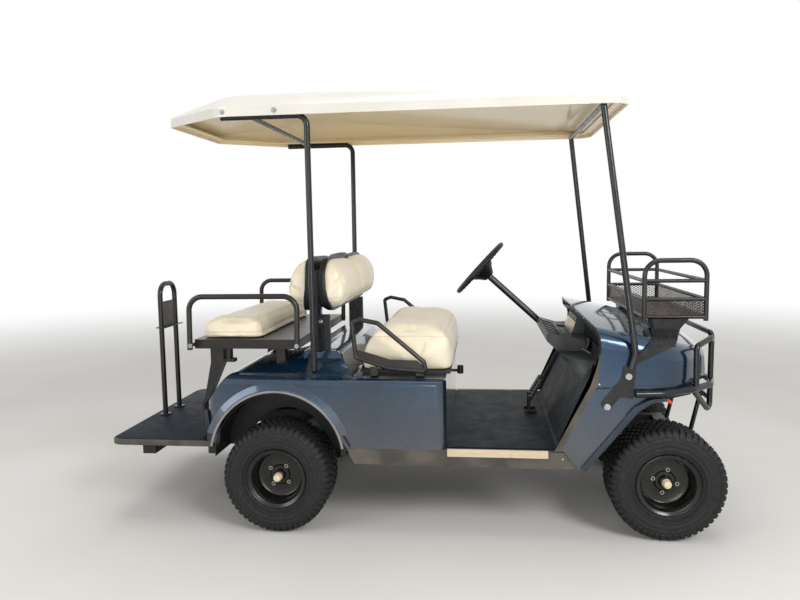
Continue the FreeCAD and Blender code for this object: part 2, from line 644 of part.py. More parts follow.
def arched(x, half, top, corner):
    """the cowl's outline across the cart: a crown that meets each side in a round corner"""
    low, centre = 200, top - s.crown_r
    knee = Vector(x, half - corner, centre + math.sqrt((s.crown_r - corner) ** 2 - (half - corner) ** 2))
    way = (knee - Vector(x, 0, centre)).normalize()
    bend, brow = knee + (way + Y).normalize() * corner, knee + way * corner
    def far(point):
        return Vector(point.x, -point.y, point.z)
    side = Vector(x, half, knee.z)
    return Part.Wire([edge.toShape() for edge in (
        Part.LineSegment(Vector(x, -half, low), Vector(x, half, low)), Part.LineSegment(Vector(x, half, low), side),
        Part.Arc(side, bend, brow), Part.Arc(brow, Vector(x, 0, top), far(brow)), Part.Arc(far(brow), far(bend), far(side)),
        Part.LineSegment(far(side), Vector(x, -half, low)))])


def cowl_form(inset):
    """the cowl's outside, or moved in by inset: a sheared rear part and a nose that narrows"""
    rings = [arched(s.wheelbase + x, half - inset, top - inset, corner - inset) for x, half, top, corner in STATIONS]
    rear = Part.Face(rings[0]).extrude(Vector(-340, 0, -340 * CROWN_FALL))
    ends = prism(ahead([(-600, 100), (-600, 1100), (60, 1000 - inset), (148, 852 - inset, 70), (194 - inset, 780 - inset, 30),
                        (212 - inset, 640), (212 - inset, 100)]), "Y", -700, 700)
    return rear.fuse(Part.makeLoft(rings, True, False)).common(ends)


def behind_edge(depth):
    """all that lies behind the cowl's rear edge, moved ahead by depth"""
    x = s.wheelbase - s.edge_back + depth
    arc = Part.makeCylinder(s.edge_r, 400, Vector(x + s.edge_r, 0, EDGE[-2][1]), Z)
    above = Part.makeBox(700, 1400, 400, Vector(x - 500, -700, EDGE[-2][1])).cut(arc)
    steps = [(point[0] + depth, point[1]) for point in ahead(EDGE[:-1])]
    below = prism([(x - 500, 200)] + [(steps[0][0], 200)] + steps + [(x - 500, EDGE[-2][1])], "Y", -700, 700)
    return above.fuse(below)


def cowl():
    low, far = s.cowl_low, 700
    under = prism(ahead([(-430, 386), (-371, 312), (-332, 312), (-134, 566, 60), (-80, 604, 60), (-24, 613), (-24, low),
                         (300, low), (300, 150), (-600, 150), (-600, 386)]), "Y", -far, far)
    seam = prism(ahead([(-331, 655), (-262, 655, 20), (-160, 668, 60), (300, 662), (300, 676), (-160, 684, 60),
                        (-254, 667, 20), (-326, 667)]), "Y", -far, far).cut(cowl_form(3))
    return cowl_form(0).cut([cowl_form(s.wall), behind_edge(0), under, seam])


node("front_cowl", feature("cowl_shell", cowl()))


# Front fenders: flares over the steered wheels
def fender():
    near, out = s.half_body + s.seat_gap, s.half_body + s.seat_gap + s.flare_out
    lip = [(-342, 306), (-134, 562, 60), (-80, 598, 60), (-24, 608), (-16, 622), (-86, 616, 60), (-150, 582, 60), (-362, 318)]
    blade = prism(ahead(lip), "Y", near, out)
    return blade.makeFillet(4, [edge for edge in blade.Edges if edge.CenterOfMass.y > out - 0.1])


node("front_fenders", compound("fender_pair", [feature("fender_left", fender()), feature("fender_right", mirror(fender()))]))

# Dash, inside the cowl's rear opening: a rim band, a tray behind it, the instrument panel and a slotted shelf
def dash():
    fit, band, edge = s.wall + s.seat_gap, s.rim_band, s.wheelbase - s.edge_back
    inner, bowl = cowl_form(fit), cowl_form(fit + band)
    rim = inner.cut([bowl, behind_edge(4)]).common(behind_edge(20))
    middle = Part.makeBox(900, 2 * (s.half_body - fit - band), 500, Vector(edge - 400, -s.half_body + fit + band, 280))
    rim = rim.cut([middle, Part.makeBox(900, 1400, 290, Vector(edge - 400, -700, 102))])
    tray = inner.cut(behind_edge(70)).common(behind_edge(76)).cut(Part.makeBox(900, 1400, 600, Vector(edge - 400, -700, 200)))
    wall = bowl.cut([cowl_form(fit + band + 6), behind_edge(6)]).common(behind_edge(74))
    wall = wall.cut(Part.makeBox(900, 1400, 600, Vector(edge - 400, -700, 200)))
    panel = Part.makeBox(90, 300, 160, Vector(edge - 2, -150, 800)).common(bowl)
    shelf = prism(ahead([(-480, 850, 10), (-383, 822), (-290, 822), (-290, 800), (-330, 690), (-350, 690),
                         (-478, 808, 8)]), "Y", -s.half_body + 44, s.half_body - 44)
    slots = [Part.makeBox(90, 8, 30, Vector(s.wheelbase - 474, y, 828)) for y in (-350, -322, -294, -266)]
    return rim.fuse([tray, wall, panel, shelf]).cut(slots)


# Steering wheel and column
lean = math.radians(s.column_tilt)
driver_way = Vector(-math.cos(lean), 0, math.sin(lean))
hub_spot = Vector(s.wheelbase - s.hub_back, s.driver_y, s.wheel_hub_z)
tilt = Rotation(Z, driver_way)


def steering_wheel():
    rim = Part.makeTorus(s.steering_r, s.steering_tube, Vector(), Z)
    boss = Part.makeCone(30, 40, 34, Vector(0, 0, -44), Z)
    spokes = [prism([(0, -22), (s.steering_r - 4, -11), (s.steering_r - 4, 11), (0, 22)], "Z", -24, -15) for turn in range(3)]
    for index, spoke in enumerate(spokes):
        spoke.rotate(Vector(), Vector(0, 1, 0), -6)
        spoke.rotate(Vector(), Z, 60 + 120 * index)
    socket = Part.makeCylinder(s.column_r * 0.6 + s.bore_slip, 26, Vector(0, 0, -45), Z)
    whole = rim.fuse([boss] + spokes).cut(socket)
    whole.Placement = Placement(hub_spot, tilt)
    return whole


def steering_column():
    toe = Vector(165, 0, 328)
    board = Vector(s.wheelbase - s.toe_back, 0, s.floor_top) - hub_spot
    board.y = 0
    down = -driver_way
    reach = (board.x * toe.z - board.z * toe.x) / (down.x * toe.z - down.z * toe.x)
    slope = abs(math.tan(toe.getAngle(down) - math.pi / 2))
    long = reach - 45 - 2 * s.seat_gap - s.column_r * slope
    post = Part.makeCylinder(s.column_r, long, Vector(0, 0, -45 - s.seat_gap - long), Z)
    tip = Part.makeCylinder(s.column_r * 0.6, 26, Vector(0, 0, -50), Z)
    whole = post.fuse(tip)
    whole.Placement = Placement(hub_spot, tilt)
    return whole


node("steering_wheel", feature("steering_wheel_shape", steering_wheel()))
node("steering_column", feature("steering_column_shape", steering_column()))
passage = Part.makeCylinder(s.column_r + s.seat_gap, 700, Vector(0, 0, -700), Z)
passage.Placement = Placement(hub_spot, tilt)
node("dash", feature("dash_shape", dash().cut(passage)))


# Pedals and the direction lever
def controls():
    pedals, base = [], s.floor_top + s.seat_gap
    for y, wide in ((150, 70), (60, 50)):
        spot = Vector(s.wheelbase - 534, y, 455)
        pad_plate = prism([(y - wide / 2, 455, 10), (y + wide / 2, 455, 10), (y + wide / 2, 575, 10), (y - wide / 2, 575, 10)],
                          "X", spot.x, spot.x + 12)
        pad_plate.rotate(spot, Y, 30)
        arm = Part.makeBox(60, 14, 12, Vector(spot.x - 20, y - 7, base))
        link_up = Part.makeBox(12, 14, 86, Vector(spot.x - 4, y - 7, base))
        pedals.append(pad_plate.fuse([arm, link_up]))
    stem = Part.makeCylinder(7, 50, Vector(s.body_front + s.seat_gap, 60, 600), X)
    knob = Part.makeCylinder(16, 40, Vector(s.body_front + 40, 60, 585), Z)
    return Part.makeCompound(pedals + [stem.fuse(knob)])


node("controls", feature("controls_shape", controls()))

# Front seat: board, cushion and hip restraints, which lift as one lid
board_low = "bay_rim + seat_gap"
board = box("seat_board_box", ("seat_rear + 14", "-half_seat + 14", board_low),
            ("seat_front - 34 - seat_rear", "2 * half_seat - 28", "board_thick"))
lid_barrels, body_barrels = [], []
for spot, y in enumerate((-270, 270)):
    lid_barrels += [rod("lid_barrel_%d" % spot, ("hinge_x", y - 20, "bay_rim + hinge_r + seat_gap"), "hinge_r", "40", "Y"),
                    box("lid_leaf_%d" % spot, ("hinge_x", y - 20, "bay_rim + hinge_r + seat_gap"),
                        ("seat_rear + 16 - hinge_x", "40", "4"))]
    pin = rod("hinge_pin_%d" % spot, ("hinge_x", y - 46, "bay_rim + hinge_r + seat_gap"), "2.5", "92", "Y")
    ears = [rod("hinge_ear_%d_%d" % (spot, end), ("hinge_x", y + low, "bay_rim + hinge_r + seat_gap"), "hinge_r", "20", "Y")
            for end, low in enumerate((-46, 26))]
    body_barrels.append(fuse("hinge_ears_%d" % spot, [pin] + ears))
lid = fuse("lid_whole", [board] + lid_barrels)
holes = rod("hinge_holes", ("hinge_x", "-400", "bay_rim + hinge_r + seat_gap"), "2.5 + bore_slip", "800", "Y")
node("seat_board", cut("lid_bored", lid, holes))
node("seat_hinges", compound("seat_hinge_pair", body_barrels))
cushion = pad("seat_cushion_body", "XZ_Plane", [
    ("seat_rear", board_low), ("seat_front - 8", board_low), ("seat_front", "bay_rim + lid_high - 60"),
    ("seat_front - 40", "bay_rim + lid_high - 6"), ("seat_rear + 120", "bay_rim + lid_high + 4"),
    ("seat_rear + 60", "bay_rim + lid_high - 12"), ("seat_rear", "bay_rim + 60")], "2 * half_seat",
    rounded="30", chosen=lambda edge: not along(edge, Y) and edge.CenterOfMass.z > s.bay_rim + 40)
board_room = box("board_room", ("seat_rear - 2", "-half_seat + 14 - seat_gap", "bay_rim - 2"),
                 ("seat_front - 18 - seat_rear + seat_gap", "2 * half_seat - 28 + 2 * seat_gap", "board_thick + 2 + 2 * seat_gap"))
node("seat_cushion", cut("seat_cushion_whole", cushion, board_room))


def hip_restraint():
    y, z = -s.hoop_y, s.bay_rim
    loop = [(500, y, z + 36), (352, y, z + 84), (336, y, z + 236), (372, y, z + 250), (450, y, z + 234),
            (648, y, z + 66), (656, y, z + 24), (500, y, z + 36)]
    ring = tube("hip_loop", loop, "hoop_r - 2", 12)
    skirt = feature("hip_skirt", prism([(346, z + 88, 8), (345, z + 124, 8), (500, z + 76, 60), (618, z + 72, 8), (652, z + 44, 8),
                                        (654, z + 28, 8), (500, z + 38, 60)], "Y", y - 4, y + 4))
    pieces = [ring, skirt]
    for spot, x in enumerate((430, 630)):
        pieces.append(feature("hip_foot_%d" % spot, prism([
            (y - 4, z + 44), (y - 4, z + 4), (-s.half_seat - s.seat_gap, z + 4), (-s.half_seat - s.seat_gap, z + 10),
            (y + 2, z + 10), (y + 2, z + 44)], "X", x - 16, x + 16)))
    return fuse("hip_right", pieces)


node("hip_restraints", both_sides("hip_pair", hip_restraint()))

# Backrests, back to back: a backrest's corners are (away from the columns, above the ground)
BACKS = (("front", 1), ("rear", -1))
SHELL = (("0", "back_low + 10"), ("22 + shell_thick", "back_low"), ("shell_thick", "back_high"), ("0", "back_high - 14"))
PILLOW = (
    ("22 + shell_thick + seat_gap", "back_low"), ("22 + back_thick + shell_thick", "back_low + 40"),
    ("8 + back_thick + shell_thick", "(back_low + back_high) / 2 + 30"),
    ("shell_thick + back_thick - 30", "back_high - 8"), ("shell_thick + seat_gap", "back_high"))
shells = []
for name, way in BACKS:
    middle = "rear_strut_x + %d * (column_wide / 2 + seat_gap)" % way
    def at(corners):
        return [("%s + %d * (%s)" % (middle, way, out), up) for out, up in corners]
    shells.append(pad(name + "_shell", "XZ_Plane", at(SHELL), "2 * half_back", rounded="40",
                      chosen=lambda edge: not along(edge, Y) and edge.Length < 60))
    node(name + "_backrest", pad(name + "_pillow", "XZ_Plane", at(PILLOW), "2 * half_back - 12", rounded="18",
                                 chosen=lambda edge: not along(edge, Y) and edge.Length > 60))
node("backrest_shells", compound("shell_pair", shells))

# Seat columns with the rails that carry the backrests
column_y = "(half_body - column_in)"
support = []
for side, sign, way in SIDES:
    support.append(box("column_" + side, ("rear_strut_x - column_wide / 2", "%s%s - 15" % (sign, column_y), "hump_z + seat_gap"),
                       ("column_wide", "30", "back_high - 60 - hump_z")))
    support.append(box("column_foot_" + side, ("rear_strut_x + 3", "%s%s - 9" % (sign, column_y), "hump_z + seat_gap"),
                       ("55", "18", "back_low - 22 - hump_z")))
for spot, height in enumerate(("back_low + 30", "back_high - 90")):
    support.append(box("back_rail_%d" % spot, ("rear_strut_x - column_wide / 2", "-" + column_y, height),
                       ("column_wide", "2 * " + column_y, "30")))
node("seat_supports", fuse("seat_support_whole", support))

# Rear seat: channel frame, cushion, braces and armrests
deck = s.rail_low + s.rail_high + s.seat_gap + s.platform_thick
channel_z = "rear_seat_z - channel_high"
ring_out = box("channel_out", ("rear_seat_back - 4", "-half_channel", channel_z),
               ("rear_seat_front - rear_seat_back + 30", "2 * half_channel", "channel_high - seat_gap"))
ring_in = box("channel_in", ("rear_seat_back + 36", "-half_channel + 40", "%s - 1" % channel_z),
              ("rear_seat_front - rear_seat_back - 50", "2 * half_channel - 80", "channel_high - 8"))
seat_frame = [cut("channel_ring", ring_out, ring_in)]
for side, sign, way in SIDES:
    seat_frame.append(box("rear_leg_" + side, ("-20", "%s(half_channel - 40) - 20" % sign, "shoulder_z + deck_rise + seat_gap"),
                          ("40", "40", "%s - shoulder_z - deck_rise" % channel_z)))
    seat_low = s.rear_seat_z - s.channel_high + 4
    brace = prism([(-322, seat_low), (-262, seat_low), (-262, 735), (-338, 566), (-361, 540), (-361, deck + s.seat_gap),
                   (-372, deck + s.seat_gap), (-372, 545), (-358, 566), (-322, 735)], "Y",
                  way * (s.half_channel - 30) - 25, way * (s.half_channel - 30) + 25)
    seat_frame.append(feature("under_bar_" + side, prism([(-318, 735), (-214, 735), (-214, 750), (-232, 750), (-232, seat_low),
                                                          (-250, seat_low), (-250, 750), (-318, 750)], "Y",
                                                         way * (s.half_channel - 30) - 18, way * (s.half_channel - 30) + 18)))
    seat_frame.append(feature("brace_" + side, brace))
node("rear_seat_frame", fuse("rear_seat_frame_whole", seat_frame))
node("rear_seat_cushion", pad("rear_cushion_body", "XZ_Plane", [
    ("rear_seat_back + 12", "rear_seat_z"), ("rear_seat_front", "rear_seat_z"),
    ("rear_seat_front", "rear_seat_z + rear_seat_thick"), ("rear_seat_back + 60", "rear_seat_z + rear_seat_thick"),
    ("rear_seat_back", "rear_seat_z + rear_seat_thick - 40")], "2 * half_seat",
    rounded="26", chosen=lambda edge: not along(edge, Y) and edge.CenterOfMass.z > s.rear_seat_z + 20))
arm = tube("armrest_tube", [
    (s.rear_seat_back - 12, -s.hoop_y, s.rear_seat_z - s.channel_high), (s.rear_seat_back - 8, -s.hoop_y, s.hoop_z),
    (s.rear_seat_front + 34, -s.hoop_y, s.hoop_z), (s.rear_seat_front + 28, -s.hoop_y, s.rear_seat_z - s.channel_high)],
    "hoop_r", 62)
lugs = [rod("armrest_lug_%d" % spot, (x, "-hoop_y", "%s + channel_high / 2" % channel_z), "8",
            "hoop_y - half_channel - seat_gap", "Y")
        for spot, x in enumerate(("rear_seat_back - 3", "rear_seat_front + 18"))]
node("armrests", both_sides("armrest_pair", fuse("armrest_right", [arm] + lugs)))

# Foot platform and the grab bar on it
node("foot_platform", pad("platform_body", "XY_Plane", [
    ("-rear_reach", "-half_platform"), ("platform_front", "-half_platform"), ("platform_front", "half_platform"),
    ("-rear_reach", "half_platform")], "platform_thick", symmetric=False, rounded="24", chosen=lambda edge: along(edge, Z)))
place(nodes[-1], SHIFT, "0", "rail_low + rail_high + seat_gap")
grab = tube("grab_hoop", [(s.grab_x, -s.grab_half, deck + 2), (s.grab_x, -s.grab_half, s.grab_z),
                          (s.grab_x, s.grab_half, s.grab_z), (s.grab_x, s.grab_half, deck + 2)], "grab_r", 60)
plate = box("grab_plate", ("grab_x - 4", "-grab_half", "840"), ("8", "2 * grab_half", "130"))
feet = [rod("grab_foot_" + side, ("grab_x", "%s(grab_half)" % sign, "%g" % (deck + s.seat_gap)), "28", "6")
        for side, sign, way in SIDES]
node("grab_bar", fuse("grab_bar_whole", [grab, plate] + feet))


# Roof: a moulded shell with a side band, a raised rear panel and an inner ledge that sits on the struts
def roof():
    low, rim, back, front, half = s.roof_low, s.roof_rim, s.roof_rear, s.wheelbase - s.brow_back, s.half_roof
    def plan(inset):
        return [(back + inset, -306 + inset / 2, 40), (back + 330, -half + inset, 140), (front - 45 - inset, -half + inset, 30),
                (front - inset, -half + 55 + inset, 30), (front - inset, half - 55 - inset, 30),
                (front - 45 - inset, half - inset, 30), (back + 330, half - inset, 140), (back + inset, 306 - inset / 2, 40)]
    def outline_at(height, inset):
        return rounded(plan(inset), lifted("Z", low + height))
    def form(wall):
        start = -1 if wall else 0
        band = Part.makeLoft([outline_at(start, wall), outline_at(rim - wall * 0.5, 3 + wall)], True, True)
        crown = Part.makeLoft([outline_at(rim - wall * 0.5, 3 + wall), outline_at(76 - wall, 56 + wall * 0.5),
                               outline_at(106 - wall, 118), outline_at(124 - wall, 200), outline_at(134 - wall, 300)], True, False)
        top = prism([(back - 20, low - 5), (back - 20, low + rim - wall), (back + 213, low + 86 - wall, 300),
                     (back + 413, low + 115 - wall, 300), (back + 728, low + 130 - wall, 20), (back + 736, low + 111 - wall, 12),
                     (front - 207, low + rim + 7 - wall, 60), (front - 152, low + rim + 12 - wall, 60),
                     (front - 56, low + rim - 11 - wall, 60), (front + 20, low + rim - 22 - wall), (front + 20, low - 5)],
                    "Y", -700, 700)
        return band.fuse(crown).common(top)
    ledge_z = low + 2 * s.strut_r + s.seat_gap - 13
    ledge = Part.Face(rounded(plan(s.roof_wall - 2), lifted("Z", ledge_z))).extrude(Z * 6)
    hole = Part.Face(rounded(plan(s.roof_wall + 44), lifted("Z", ledge_z - 1))).extrude(Z * 8)
    return form(0).cut(form(s.roof_wall)).fuse(ledge.cut(hole))


node("roof", feature("roof_shell", roof()))

strut_z = s.roof_low
foot_y = -s.half_body - s.seat_gap
top_x, knee_x = s.wheelbase - s.strut_top_back, s.wheelbase - s.strut_knee_back
front_strut = tube("front_strut", [
    (top_x, -s.strut_y, strut_z), (knee_x, foot_y - s.strut_r - 5, 800),
    (knee_x - 16, foot_y - s.strut_r - 5, 742)], "strut_r", 60)
foot_plate = feature("strut_foot", prism(ahead([
    (-196, 752, 10), (-145, 752, 10), (-152, 664, 12), (-152, 612, 12), (-206, 626, 30), (-254, 560, 18), (-288, 590, 18),
    (-203, 700, 30)]), "Y", foot_y - 6, foot_y))
front_pair = [front_strut, mirrored("front_strut_far", front_strut), foot_plate, mirrored("strut_foot_far", foot_plate)]
front_bar = tube("front_roof_bar", [(top_x, -s.strut_y, strut_z), (top_x, s.strut_y, strut_z)], "strut_r - thin_by")
node("front_struts", fuse("front_strut_whole", front_pair + [front_bar]))
rear_strut = tube("rear_strut", [(-210, -s.strut_y, strut_z), (s.rear_strut_x, -s.strut_y, strut_z),
                                 (s.rear_strut_x, -s.strut_y + 12, s.shoulder_z + 18.2)], "strut_r", 45)
rear_bar = tube("rear_roof_bar", [(-80, -s.strut_y, strut_z), (-80, s.strut_y, strut_z)], "strut_r - thin_by")
node("rear_struts", fuse("rear_strut_whole", [rear_strut, mirrored("rear_strut_far", rear_strut), rear_bar]))

# Front basket: end hoops, rails all round, and sheet where the mesh is
basket_x = (s.wheelbase - s.basket_back, s.wheelbase - s.basket_back + s.basket_long)


def basket():
    half, low, pieces = s.half_basket, s.basket_low, []
    hoop = tube("basket_hoop", [(basket_x[0], -half, low - 8), (basket_x[0], -half, s.basket_top),
                                (basket_x[1], -half, s.basket_top), (basket_x[1], -half, low - 8)], "basket_tube", 66)
    pieces += [hoop, mirrored("basket_hoop_far", hoop)]
    loop = [(basket_x[0], half), (basket_x[1], half), (basket_x[1], -half), (basket_x[0], -half)]
    for level, height in enumerate((low + 8, s.basket_rail, s.basket_bar)):
        for spot, (first, second) in enumerate(zip(loop, loop[1:] + loop[:1])):
            pieces.append(tube("basket_rail_%d_%d" % (level, spot), [(*first, height), (*second, height)],
                               "basket_tube - thin_by"))
    high = s.basket_rail - low - 8
    walls = Part.makeBox(s.basket_long + 3, 2 * half + 3, high, Vector(basket_x[0] - 1.5, -half - 1.5, low + 8))
    walls = walls.cut(Part.makeBox(s.basket_long - 3, 2 * half - 3, high, Vector(basket_x[0] + 1.5, -half + 1.5, low + 8)))
    floor = Part.makeBox(s.basket_long, 2 * half, 4, Vector(basket_x[0], -half, low + 6))
    return fuse("basket_whole", pieces + [feature("basket_sheet", walls.fuse(floor))])


node("basket", basket())


# Bracket: a folded pan on each side of the hood under the basket, and a plate down to the strut foot
def basket_bracket():
    top, x = s.basket_low + 8 - s.basket_tube + s.thin_by - s.seat_gap, s.wheelbase
    outside = [(-50, top), (-41, 879, 6), (62, 880, 6), (98, top)]
    inside = [(-47, top), (-38, 882, 3), (60, 883, 3), (94, top)]
    pan = prism(ahead(outside), "Y", -s.half_basket - 4, -s.half_basket + 96)
    pan = pan.cut(prism(ahead(inside + [(94, top + 9), (-47, top + 9)]), "Y", -s.half_basket - 1, -s.half_basket + 93))
    y, out = -s.half_basket - 4, foot_y - s.seat_gap
    upper = [(x - 41, y, 880), (x + 64, y, 880), (x + 64, y + 5, 884), (x - 41, y + 5, 884)]
    lower = [(x - 98, out - 4, 834), (x + 8, out - 4, 834), (x + 8, out, 840), (x - 98, out, 840)]
    rings = [Part.makePolygon([Vector(*point) for point in ring + ring[:1]]) for ring in (upper, lower)]
    skirt = prism(ahead([(-99, 838), (9, 838), (-132, 766), (-146, 753), (-170, 753), (-166, 770, 12)]), "Y", out - 4, out)
    plate = Part.makeLoft(rings, True, True).fuse(skirt)
    half = pan.fuse(plate)
    return Part.makeCompound([half, mirror(half)])


node("basket_bracket", feature("basket_bracket_shape", basket_bracket()))


# Brush guard: a bent main tube, side hoops, a front hoop and stays to the frame
def guard():
    low, high, y, front = s.guard_low, s.guard_high, s.guard_y, s.wheelbase + s.front_reach - s.guard_r
    thick, thin = "guard_r", "guard_r - thin_by"
    foot, half = foot_y - 6 - s.guard_r - s.seat_gap, s.half_body
    main = ahead([(-150, foot, low - 2), (-40, -half - 6, low - 2), (100, -half + 73, low)]) + [
        (front - 30, -y + 30, low), (front, -y + 120, low)]
    main += [(x, -across, up) for x, across, up in reversed(main)]
    hoop = [(front - 130, -y - 70, low), (front - 6, -y + 110, 502), (front - 4, -y + 110, high), (front - 4, y - 110, high),
            (front - 6, y - 110, 502), (front - 130, y + 70, low)]
    pieces = [tube("guard_main", main, thick, 50), tube("guard_hoop", hoop, thin, 26)]
    side = [(front - 112, -y - 56, low), (front - 112, -y - 50, 816), (front - 30, -y + 40, 838), (front - 4, -y + 110, 820)]
    side_hoop = tube("guard_side", side, thin, 22)
    nose, level = s.wheelbase + 150 + s.seat_gap, s.rail_low + 40
    stay = tube("guard_stay", [(nose, -s.rail_y, level), (nose + 22, -s.rail_y, level), (front - 5, -s.rail_y, 562)],
                "guard_r - 2 * thin_by", 24)
    pieces += [side_hoop, mirrored("guard_side_far", side_hoop), stay, mirrored("guard_stay_far", stay)]
    pieces.append(tube("guard_low_bar", [(front - 5, -y + 110, 562), (front - 5, y - 110, 562)], "guard_r - 1.5 * thin_by"))
    return fuse("guard_whole", pieces)


node("brush_guard", guard())

doc.recompute()
os.makedirs("parts", exist_ok=True)
bad = [item.Label for item in doc.Objects if "Invalid" in item.State or "Error" in item.State]
for piece in nodes:
    if piece.Shape.isNull() or not piece.Shape.isValid() or piece.Shape.Volume < 1:
        bad.append(piece.Label)
if bad:
    raise RuntimeError("not built: " + ", ".join(sorted(set(bad))))
for piece in nodes:
    piece.Shape.exportStep("parts/%s.step" % piece.Label)
    size = piece.Shape.BoundBox
    print("%-20s %2d solids  x %7.1f %7.1f  y %7.1f %7.1f  z %7.1f %7.1f" % (
        piece.Label, len(piece.Shape.Solids), size.XMin, size.XMax, size.YMin, size.YMax, size.ZMin, size.ZMax))
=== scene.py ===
import math

import bmesh
import bpy
from mathutils import Matrix, Vector, noise
from mathutils.bvhtree import BVHTree


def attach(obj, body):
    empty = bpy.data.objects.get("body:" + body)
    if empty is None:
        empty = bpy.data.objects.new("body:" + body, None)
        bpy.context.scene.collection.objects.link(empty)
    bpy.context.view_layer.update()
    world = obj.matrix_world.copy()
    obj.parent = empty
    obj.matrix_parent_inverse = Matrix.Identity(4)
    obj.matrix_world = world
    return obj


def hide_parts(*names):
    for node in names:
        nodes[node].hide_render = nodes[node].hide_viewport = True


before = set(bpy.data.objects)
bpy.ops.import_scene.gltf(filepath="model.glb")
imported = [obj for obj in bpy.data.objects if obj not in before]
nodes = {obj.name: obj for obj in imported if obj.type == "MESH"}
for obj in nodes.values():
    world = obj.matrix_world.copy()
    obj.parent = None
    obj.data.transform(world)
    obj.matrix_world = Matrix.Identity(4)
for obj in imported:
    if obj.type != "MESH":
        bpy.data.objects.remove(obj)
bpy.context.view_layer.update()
print("frame loaded")

# Places are in mm, with X counted as in the CAD: the rear axle is at 0 and the front axle at 1664.
rearAxle = 551
frontAxle = 1664
wheelNames = ["front_left", "front_right", "rear_left", "rear_right"]


def at(x, y, z):
    return Vector(((x - rearAxle) / 1000, y / 1000, z / 1000))


def placeOf(point):
    return point.x * 1000 + rearAxle, point.y * 1000, point.z * 1000


# Materials
def linear(colour):
    channels = [int(colour[start:start + 2], 16) / 255 for start in (1, 3, 5)]
    return [c / 12.92 if c <= 0.04045 else ((c + 0.055) / 1.055) ** 2.4 for c in channels] + [1]


def addNode(owner, kind, inputs=None, **settings):
    node = owner.node_tree.nodes.new("ShaderNode" + kind)
    for name, value in settings.items():
        setattr(node, name, value)
    for socket, value in (inputs or {}).items():
        if isinstance(value, bpy.types.NodeSocket):
            owner.node_tree.links.new(value, node.inputs[socket])
        else:
            node.inputs[socket].default_value = value
    return node


def startMaterial(name):
    material = bpy.data.materials.new(name)
    material.use_nodes = True
    material.node_tree.nodes.clear()
    return material, addNode(material, "TexCoord").outputs["Object"]


def ramp(owner, value, low=0.0, high=1.0, first=0.0, last=1.0):
    # low to high becomes first to last
    inputs = {"Value": value, "From Min": low, "From Max": high, "To Min": first, "To Max": last}
    return addNode(owner, "MapRange", inputs).outputs["Result"]


def combine(owner, how, first, second):
    return addNode(owner, "Math", {0: first, 1: second}, operation=how).outputs[0]


def cloud(material, place, size, detail=2):
    inputs = {"Vector": place, "Scale": 1000 / size, "Detail": detail}
    return addNode(material, "TexNoise", inputs).outputs["Fac"]


def cells(material, place, size):
    return addNode(material, "TexVoronoi", {"Vector": place, "Scale": 1000 / size}).outputs["Distance"]


def blendColours(material, part, first, second):
    mix = addNode(material, "Mix", {0: part}, data_type="RGBA")
    for socket, value in ((6, first), (7, second)):
        if isinstance(value, str):
            mix.inputs[socket].default_value = linear(value)
        else:
            material.node_tree.links.new(value, mix.inputs[socket])
    return mix.outputs[2]


def spread(material, place, size, first, second, low=0.35, high=0.65, detail=3):
    # two colours that wander into each other, size in mm
    part = ramp(material, cloud(material, place, size, detail), low, high)
    return blendColours(material, part, first, second)


def wander(material, place, size, low, high, detail=3):
    # a number that drifts over the surface, size in mm
    return ramp(material, cloud(material, place, size, detail), 0.3, 0.7, low, high)


def bump(material, height, depth, under=None):
    inputs = {"Height": height, "Distance": depth / 1000, "Strength": 1}
    if under:
        inputs["Normal"] = under
    return addNode(material, "Bump", inputs).outputs["Normal"]


def grain(material, place, size, depth, pebbled=False, under=None):
    # bumps of that size and depth in mm
    height = (cells if pebbled else cloud)(material, place, size)
    return bump(material, height, depth, under)


def insideOf(material, centre):
    # 1 where a shell's face looks towards its own middle
    face = addNode(material, "NewGeometry").outputs
    out = addNode(material, "VectorMath", {0: face["Position"], 1: at(*centre)}, operation="SUBTRACT")
    facing = addNode(material, "VectorMath", {0: out.outputs["Vector"], 1: face["True Normal"]},
                     operation="DOT_PRODUCT")
    return combine(material, "LESS_THAN", facing.outputs["Value"], 0.0)


def finishMaterial(material, **values):
    words = {"colour": "Base Color", "rough": "Roughness", "normal": "Normal", "metal": "Metallic",
             "coat": "Coat Weight", "coatRough": "Coat Roughness", "sheen": "Sheen Weight",
             "gloss": "Specular IOR Level", "ior": "IOR", "lets": "Transmission Weight"}
    shader = addNode(material, "BsdfPrincipled", {words[name]: value for name, value in values.items()})
    addNode(material, "OutputMaterial", {"Surface": shader.outputs["BSDF"]})
    return material


def surface(name, tone, rough, bumps, **values):
    # a finish made of a wandering colour, a drifting roughness and a grain
    material, place = startMaterial(name)
    return finishMaterial(
        material, colour=spread(material, place, *tone), rough=wander(material, place, *rough),
        normal=grain(material, place, *bumps), **values)


